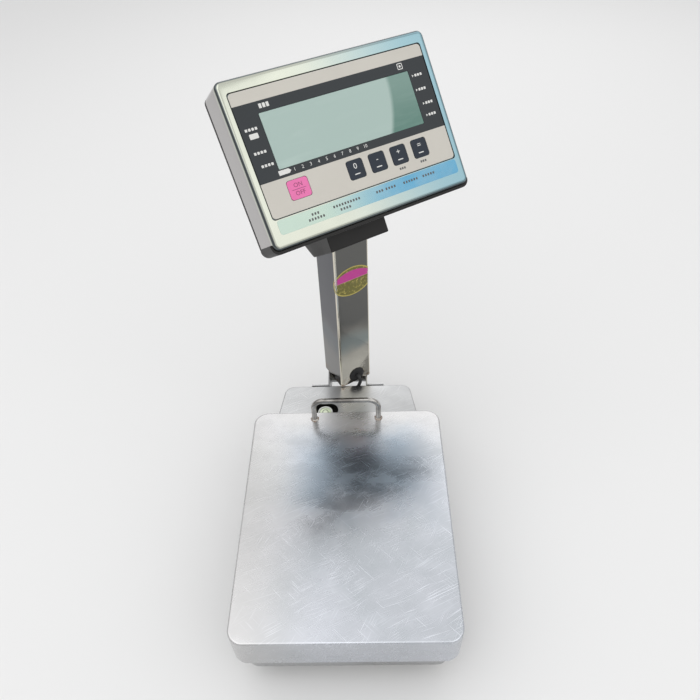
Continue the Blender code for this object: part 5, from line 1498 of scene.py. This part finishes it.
class SCALE_OT_cover(bpy.types.Operator):
    """Builds the head's pressed cover with its raised rim and the recess for the panel."""

    bl_idname = "scale.cover"
    bl_label = "Head cover"

    def execute(self, context):
        head = settings().head
        # How far each ring of the recess stands outside the panel, its corner radius and its level, in mm
        rings = ((1.3, 3.6, 0.0), (1.15, 3.5, -0.08), (0.6, 3.2, -1.45), (0.5, 3.0, -1.6))
        recess = [(SHEET.size.x + 2 * grown * MM, SHEET.size.y + 2 * grown * MM, radius * MM, *SHEET.mid[:2],
                   z * MM) for grown, radius, z in rings]
        shell = pressed_shell(COVER.size, head.corner, head.edge, head.sheet, recess)
        margin = 8 * MM
        shell = cut(shell, [plate(around(WINDOW, -margin, 2 * MM), -8 * MM, 4 * MM)])
        settle("cover_pressing", shell, cover_steel(), FACE_PLACE, "head", ["front_cover"])
        return {"FINISHED"}


def thin(points, level, thickness=0.06 * MM, holes=()):
    return plate(points, level, level + thickness, holes=holes)


def lettering(body, size, x, y, level, thickness=0.05 * MM, width=1.0):
    """Plain characters as a thin raised mesh, centred on a point of the face."""
    data = bpy.data.curves.new("lettering", "FONT")
    data.body = body
    data.size = size
    data.extrude = thickness / 2
    data.align_x = "CENTER"
    data.align_y = "CENTER"
    data.resolution_u = 3
    mesh = to_mesh(welded(data, TEXT_GAP))
    return moved(mesh, shift(x, y, level + thickness / 2) @ Matrix.Diagonal((width, 1.0, 1.0, 1.0)))


# Middles of the groups of plain bars on the panel, and (x, y, length) of the rows on the strip, in mm
LEFT_MARKS = ((-102.6, 34.5), (-101.9, 11.0), (-99.1, -2.5))
RIGHT_MARKS = ((99.4, 40.9), (98.9, 25.6), (102.1, 10.1), (101.6, -2.7))
UNDER_MARKS = ((45.7, -48.2), (73.4, -47.9))
STRIP_ROWS = (
    (-68.6, -62.6, 10), (-68.6, -67.4, 20), (-31, -62.8, 34), (-34, -67.6, 14), (10, -63.2, 10),
    (24, -63.2, 14), (50, -63.4, 20), (74, -63.4, 17),
)


def bars(x, y, offsets, size, level, thickness=0.05 * MM):
    """A row of small plain bars, in millimetres on the face."""
    width, height = size
    return [
        thin(rectangle(width * MM, height * MM, 0.4 * MM, ((x + offset) * MM, y * MM), 2), level, thickness)
        for offset in offsets
    ]


def print_marks(name, marks, finish, body="head"):
    """Joins thin marks on the face into one printed piece."""
    settle(name, joined(marks), finish, FACE_PLACE, body, smooth=0)


class SCALE_OT_panel(bpy.types.Operator):
    """Builds the printed panel, its display window and the clear strip under it."""

    bl_idname = "scale.panel"
    bl_label = "Panel and window"

    def execute(self, context):
        head = settings().head
        front, back = SHEET.high.z, SHEET.low.z
        holes = [around(WINDOW, 0.6 * MM, 1 * MM)]
        holes += [around(Extents(name, FACE_PLACE), 0.8 * MM, head.key_corner) for name in KEYS]
        sheet = plate(around(SHEET, 0.0, 4 * MM, 10), back, front, holes=holes, edge=0.12 * MM, segments=1)
        settle("panel_sheet", sheet, self.printed(head), FACE_PLACE, "head", ["membrane_panel"])
        window = plate(around(WINDOW, 0.0, 1 * MM), back, front - 0.1 * MM, edge=0.2 * MM, segments=2)
        settle("display_glass", window, self.display(head), FACE_PLACE, "head", ["lcd_window"])
        self.marks(front)
        self.strip()
        return {"FINISHED"}

    def printed(self, head):
        """Light ground with the dark band round the display."""
        material, g, shader, place = new_finish("printed_film")
        level = g.axes(place)[1]
        band = g.band(level, (-18.95 * MM, -18.85 * MM), (58.95 * MM, 59.05 * MM))
        texture = g.use(grain, Vector=place, Scale=2600.0)
        dusty = g.times(texture["Clouds"], 0.16)
        ground = g.mix(dusty, head.film, [v * 0.86 for v in head.film])
        dark = g.mix(dusty, head.band, [v * 1.4 + 0.02 for v in head.band])
        g.feed(shader, Base_Color=g.mix(band, ground, dark), Specular_IOR_Level=0.35,
               Roughness=g.scaled(texture["Clouds"], 0.12, 0.30))
        g.bump(shader, texture["Height"], 0.10, 0.00006)
        return material

    def display(self, head):
        """Grey-green glass with painted shade over its right side, reaching further left towards the bottom,
        and a faint wiped bloom.
        """
        material, g, shader, place = new_finish("display_glass")
        x, y = g.axes(place)[:2]
        # Painted shade over the right side, reaching further left towards the bottom and lighter towards the
        # top.
        bow = g.times(g.square(g.less(WINDOW.high.y, y)), 4.3)
        right = g.ramp(g.plus(x, bow), 58.5 * MM, 65 * MM)
        shade = g.times(right, g.ramp(y, -8 * MM, 44 * MM, 1.0, 0.72))
        bloom = g.ramp(g.noise(g.stretched(place, -0.9, (10.0, 60.0, 20.0)), 1.0, 3.0, 0.6), 0.50, 0.72)
        left = g.ramp(x, -60 * MM, -10 * MM, 0.35, 0.08)
        tint = g.mix(g.times(bloom, left), g.mix(shade, head.display, head.display_dark), (0.50, 0.62, 0.57))
        g.feed(shader, Base_Color=tint, Roughness=g.ramp(bloom, 0.0, 1.0, 0.12, 0.24), Coat_Weight=0.4,
               Coat_Roughness=0.05)
        return material

    def marks(self, front):
        """The scale of numbers and plain pointers and bars where the panel has its marks."""
        white = [lettering(str(number), 5.0 * MM, (-73.1 + 9.38 * (number - 1)) * MM, -14.1 * MM, front)
                 for number in range(1, 11)]
        tag = [(-91, -16.1), (-79.5, -16.1), (-77, -13.7), (-79.5, -11.3), (-91, -11.3)]
        white.append(thin([(x * MM, y * MM) for x, y in tag], front))
        white += bars(-81, 53.8, (-4.0, 0.0, 4.0), (3.0, 4.6), front)
        lamp = (81.6 * MM, 54 * MM)
        white.append(thin(rectangle(6.6 * MM, 6.6 * MM, 1.0 * MM, lamp, 3), front,
                          holes=[rectangle(5.0 * MM, 5.0 * MM, 0.5 * MM, lamp, 3)]))
        white.append(thin(circle(1.3 * MM, lamp, 16), front))
        for x, y in LEFT_MARKS:
            white += bars(x, y, (-5.4, -1.8, 1.8, 5.4), (2.5, 2.7), front)
        white.append(thin(rectangle(9.6 * MM, 5.2 * MM, 0.8 * MM, (-102.0 * MM, 27.6 * MM), 3), front))
        for x, y in RIGHT_MARKS:
            tip = [(-6.6, 1.4), (-6.6, -1.4), (-4.6, 0.0)]
            white.append(thin([((x + a) * MM, (y + b) * MM) for a, b in tip], front))
            white += bars(x, y, (-2.2, 1.2, 4.6), (2.5, 2.7), front)
        print_marks("panel_marks", white, white_ink())
        dark = [bar for x, y in UNDER_MARKS for bar in bars(x, y, (-2.6, 0.2, 3.0), (2.0, 2.4), front)]
        print_marks("panel_under_marks", dark, grey_ink())

    def strip(self):
        """A clear strip stuck to the bare steel under the panel, with plain printed bars; its green-to-blue
        tint is a painted reflection.
        """
        base = COVER.high.z
        thick = 0.18 * MM
        material, g, shader, place = new_finish("clear_strip")
        marks = g.use(smudges, Vector=place, Scale=2.0)
        # Painted reflection: green to the left, blue to the right.
        tint = g.mix(g.ramp(g.axes(place)[0], -0.07, 0.05), (0.42, 0.53, 0.45), (0.07, 0.29, 0.46))
        g.feed(shader, Base_Color=g.mix(g.times(marks["Clouds"], 0.25), tint, (0.40, 0.47, 0.46)),
               Metallic=0.75, Roughness=g.ramp(marks["Wipes"], 0.0, 1.0, 0.12, 0.22), Coat_Weight=0.5)
        low, high = -72.3 * MM, -57 * MM
        film = plate(rectangle(224.4 * MM, high - low, 3.2 * MM, (0.7 * MM, (low + high) / 2), 8), base,
                     base + thick, edge=0.06 * MM, segments=1)
        settle("strip_film", film, material, FACE_PLACE, "head")
        rows = []
        for x, y, length in STRIP_ROWS:
            count = round(length / 3.4)
            steps = [length * ((step + 0.5) / count - 0.5) for step in range(count)]
            rows += bars(x, y, steps, (2.0, 2.6), base + thick, 0.03 * MM)
        print_marks("strip_bars", rows, grey_ink())


class SCALE_OT_keys(bpy.types.Operator):
    """Builds the embossed keys with their plain marks."""

    bl_idname = "scale.keys"
    bl_label = "Keys"

    def execute(self, context):
        head = settings().head
        for index, name in enumerate(KEYS):
            power = name == "key_power"
            film, tint, shine = ("power_key_film", head.power, 0.5) if power else ("key_film", head.key, 0.3)
            finish = moulded(film, tint, 0.34, 0.10, dust=0.05, scale=2600.0, shine_level=shine)
            key = Extents(name, FACE_PLACE)
            x, y, top = key.mid.x, key.mid.y, key.high.z
            cap = plate(around(key, 0.0, head.key_corner), key.low.z, top, edge=0.3 * MM)
            settle(name + "_cap", cap, finish, FACE_PLACE, name, [name])
            thick = 0.04 * MM
            if power:
                bar = rectangle(16 * MM, 0.45 * MM, 0.1 * MM, (x, y - 0.1 * MM), 2)
                marks = [lettering("ON", 6.4 * MM, x, y + 4.0 * MM, top, thick),
                         lettering("OFF", 6.4 * MM, x, y - 4.4 * MM, top, thick), thin(bar, top, thick)]
            else:
                bar = rectangle(6.5 * MM, 1.1 * MM, 0.4 * MM, (x, y - 5.0 * MM), 3)
                marks = [lettering("0-+="[index - 1], 8.4 * MM, x, y + 3.2 * MM, top, thick, 1.1),
                         thin(bar, top, thick)]
            print_marks(name + "_mark", marks,
                        ink("power_key_ink", (0.25, 0.03, 0.11), 0.4) if power else white_ink(), name)
        return {"FINISHED"}


class SCALE_OT_head_inside(bpy.types.Operator):
    """Dresses the display module, the circuit board and the gasket."""

    bl_idname = "scale.head_inside"
    bl_label = "Inside of the head"

    def execute(self, context):
        dress_nodes(black_plastic(False), "lcd_module")
        dress_nodes(rubber(False), "case_gasket")
        board = moulded("board_mask", (0.02, 0.12, 0.05), 0.38, 0.12, own=False)
        dress_nodes(board, "circuit_board")
        return {"FINISHED"}


class SCALE_OT_rear(bpy.types.Operator):
    """Dresses the moulded back, and builds its screws and the rail under the head."""

    bl_idname = "scale.rear"
    bl_label = "Back of the head"

    def execute(self, context):
        head = settings().head
        dress_nodes(black_plastic(False), "rear_case")
        x = CASE.size.x / 2 - 13 * MM
        y = CASE.size.y / 2 - 13 * MM
        for row, sy in (("upper", 1), ("lower", -1)):
            for side, sx in (("left", -1), ("right", 1)):
                node = f"case_screw_{row}_{side}"
                top = screw_heads([ORIGIN], 3.6 * MM, 1.6 * MM, 1.9 * MM, 2, head.screw_sides, zinc())
                shank = on_axis([(0.0, 0.0), (1.8, 0.0), (1.8, -8.2), (0.3, -8.7), (0.0, -8.7)], 20)
                place = FACE_PLACE @ shift(sx * x, sy * y, CASE.low.z - 0.3 * MM) @ turn("X", 180)
                settle("cross_" + node, joined([top, shank]), zinc(), place, "head", [node])
        self.rail(head)
        return {"FINISHED"}

    def rail(self, head):
        """The rail under the head, its guards rounded away from the face at both ends."""
        outer = RAIL.size.x / 2
        half = outer - head.rail_side
        low, rise = RAIL.low.y, RAIL.high.y
        top = COVER.low.y - 0.3 * MM
        corner = head.corner + 0.3 * MM
        profile = outline([
            (-outer, low, corner + head.rail_side), (outer, low, corner + head.rail_side), (outer, rise, 0.0),
            (half, rise, 0.0), (half, top, corner), (-half, top, corner), (-half, rise, 0.0),
            (-outer, rise, 0.0),
        ], 10)
        rail = plate(profile, RAIL.low.z, RAIL.high.z, edge=0.8 * MM, under=0.8 * MM)
        arch = head.rail_arch
        tools = []
        for side, z in ((1.0, RAIL.high.z), (-1.0, RAIL.low.z)):
            cube = block((-outer - 5 * MM, rise - arch, z - arch), (outer + 5 * MM, rise + arch, z + arch))
            place = shift(0.0, rise - arch, z - side * arch) @ turn("Y", 90)
            tools.append(cut(cube, [drilled(arch, 0.2, place, 64)]))
        settle("rail_moulding", cut(rail, tools), black_plastic(), FACE_PLACE, "head", ["lower_rail"])


class SCALE_OT_batteries(bpy.types.Operator):
    """Dresses the two round cells, and builds their cover with its finger ribs."""

    bl_idname = "scale.batteries"
    bl_label = "Batteries and cover"

    def execute(self, context):
        sleeve = moulded("battery_sleeve", (0.16, 0.17, 0.19), 0.3, 0.05, own=False)
        dress_nodes(sleeve, "battery_left", "battery_right")
        lid = plate(rectangle(LID.size.x, LID.size.y, 5 * MM, steps=10), 0.0, LID.size.z, edge=1 * MM,
                    segments=4)
        grooves = [block(((x - 0.9) * MM, -9 * MM, 2.2 * MM), ((x + 0.9) * MM, 9 * MM, 4 * MM), 0.3 * MM)
                   for x in range(-15, 16, 5)]
        place = FACE_PLACE @ shift(LID.mid.x, LID.mid.y, LID.high.z) @ turn("Y", 180)
        settle("battery_lid", cut(lid, grooves), black_plastic(), place, "battery_cover", ["battery_cover"])
        return {"FINISHED"}


OPERATORS = (
    SCALE_OT_stage, SCALE_OT_pan, SCALE_OT_housing, SCALE_OT_feet, SCALE_OT_load_train, SCALE_OT_level,
    SCALE_OT_bracket, SCALE_OT_column, SCALE_OT_cable, SCALE_OT_yoke, SCALE_OT_cover, SCALE_OT_panel,
    SCALE_OT_keys, SCALE_OT_head_inside, SCALE_OT_rear, SCALE_OT_batteries,
)


class ScaleSettings(bpy.types.PropertyGroup):
    """All settings of the scale."""

    pan: PointerProperty(type=PanSettings, name="Pan", description="Settings of the pan and its handle")
    base: PointerProperty(type=BaseSettings, name="Base", description="Settings of the base and its feet")
    column: PointerProperty(
        type=ColumnSettings, name="Column", description="Settings of the column and cable"
    )
    head: PointerProperty(type=HeadSettings, name="Head", description="Settings of the display head")
    stage: PointerProperty(type=StageSettings, name="Stage", description="Settings of the light and floor")


class SCALE_PT_panel(bpy.types.Panel):
    """Lists the scale's settings and the operators that build its pieces."""

    bl_label = "Platform scale"
    bl_idname = "SCALE_PT_panel"
    bl_space_type = "VIEW_3D"
    bl_region_type = "UI"
    bl_category = "Scale"

    def draw(self, context):
        held = context.scene.scale_settings
        for label in ("pan", "base", "column", "head", "stage"):
            box = self.layout.box()
            box.label(text=label.capitalize())
            part = getattr(held, label)
            for key in part.__annotations__:
                box.prop(part, key)
        for operator in OPERATORS:
            self.layout.operator(operator.bl_idname)


CLASSES = (PanSettings, BaseSettings, ColumnSettings, HeadSettings, StageSettings, ScaleSettings,
           *OPERATORS, SCALE_PT_panel)


def register():
    for one in CLASSES:
        bpy.utils.register_class(one)
    bpy.types.Scene.scale_settings = PointerProperty(type=ScaleSettings)


def unregister():
    del bpy.types.Scene.scale_settings
    for one in reversed(CLASSES):
        bpy.utils.unregister_class(one)


def main():
    register()
    bpy.ops.scale.stage()
    bpy.ops.scale.pan()
    bpy.ops.scale.housing()
    bpy.ops.scale.feet()
    bpy.ops.scale.load_train()
    bpy.ops.scale.level()
    bpy.ops.scale.bracket()
    bpy.ops.scale.column()
    bpy.ops.scale.cable()
    bpy.ops.scale.yoke()
    bpy.ops.scale.cover()
    bpy.ops.scale.panel()
    bpy.ops.scale.keys()
    bpy.ops.scale.head_inside()
    bpy.ops.scale.rear()
    bpy.ops.scale.batteries()
    bpy.context.view_layer.update()


if __name__ == "__main__":
    main()
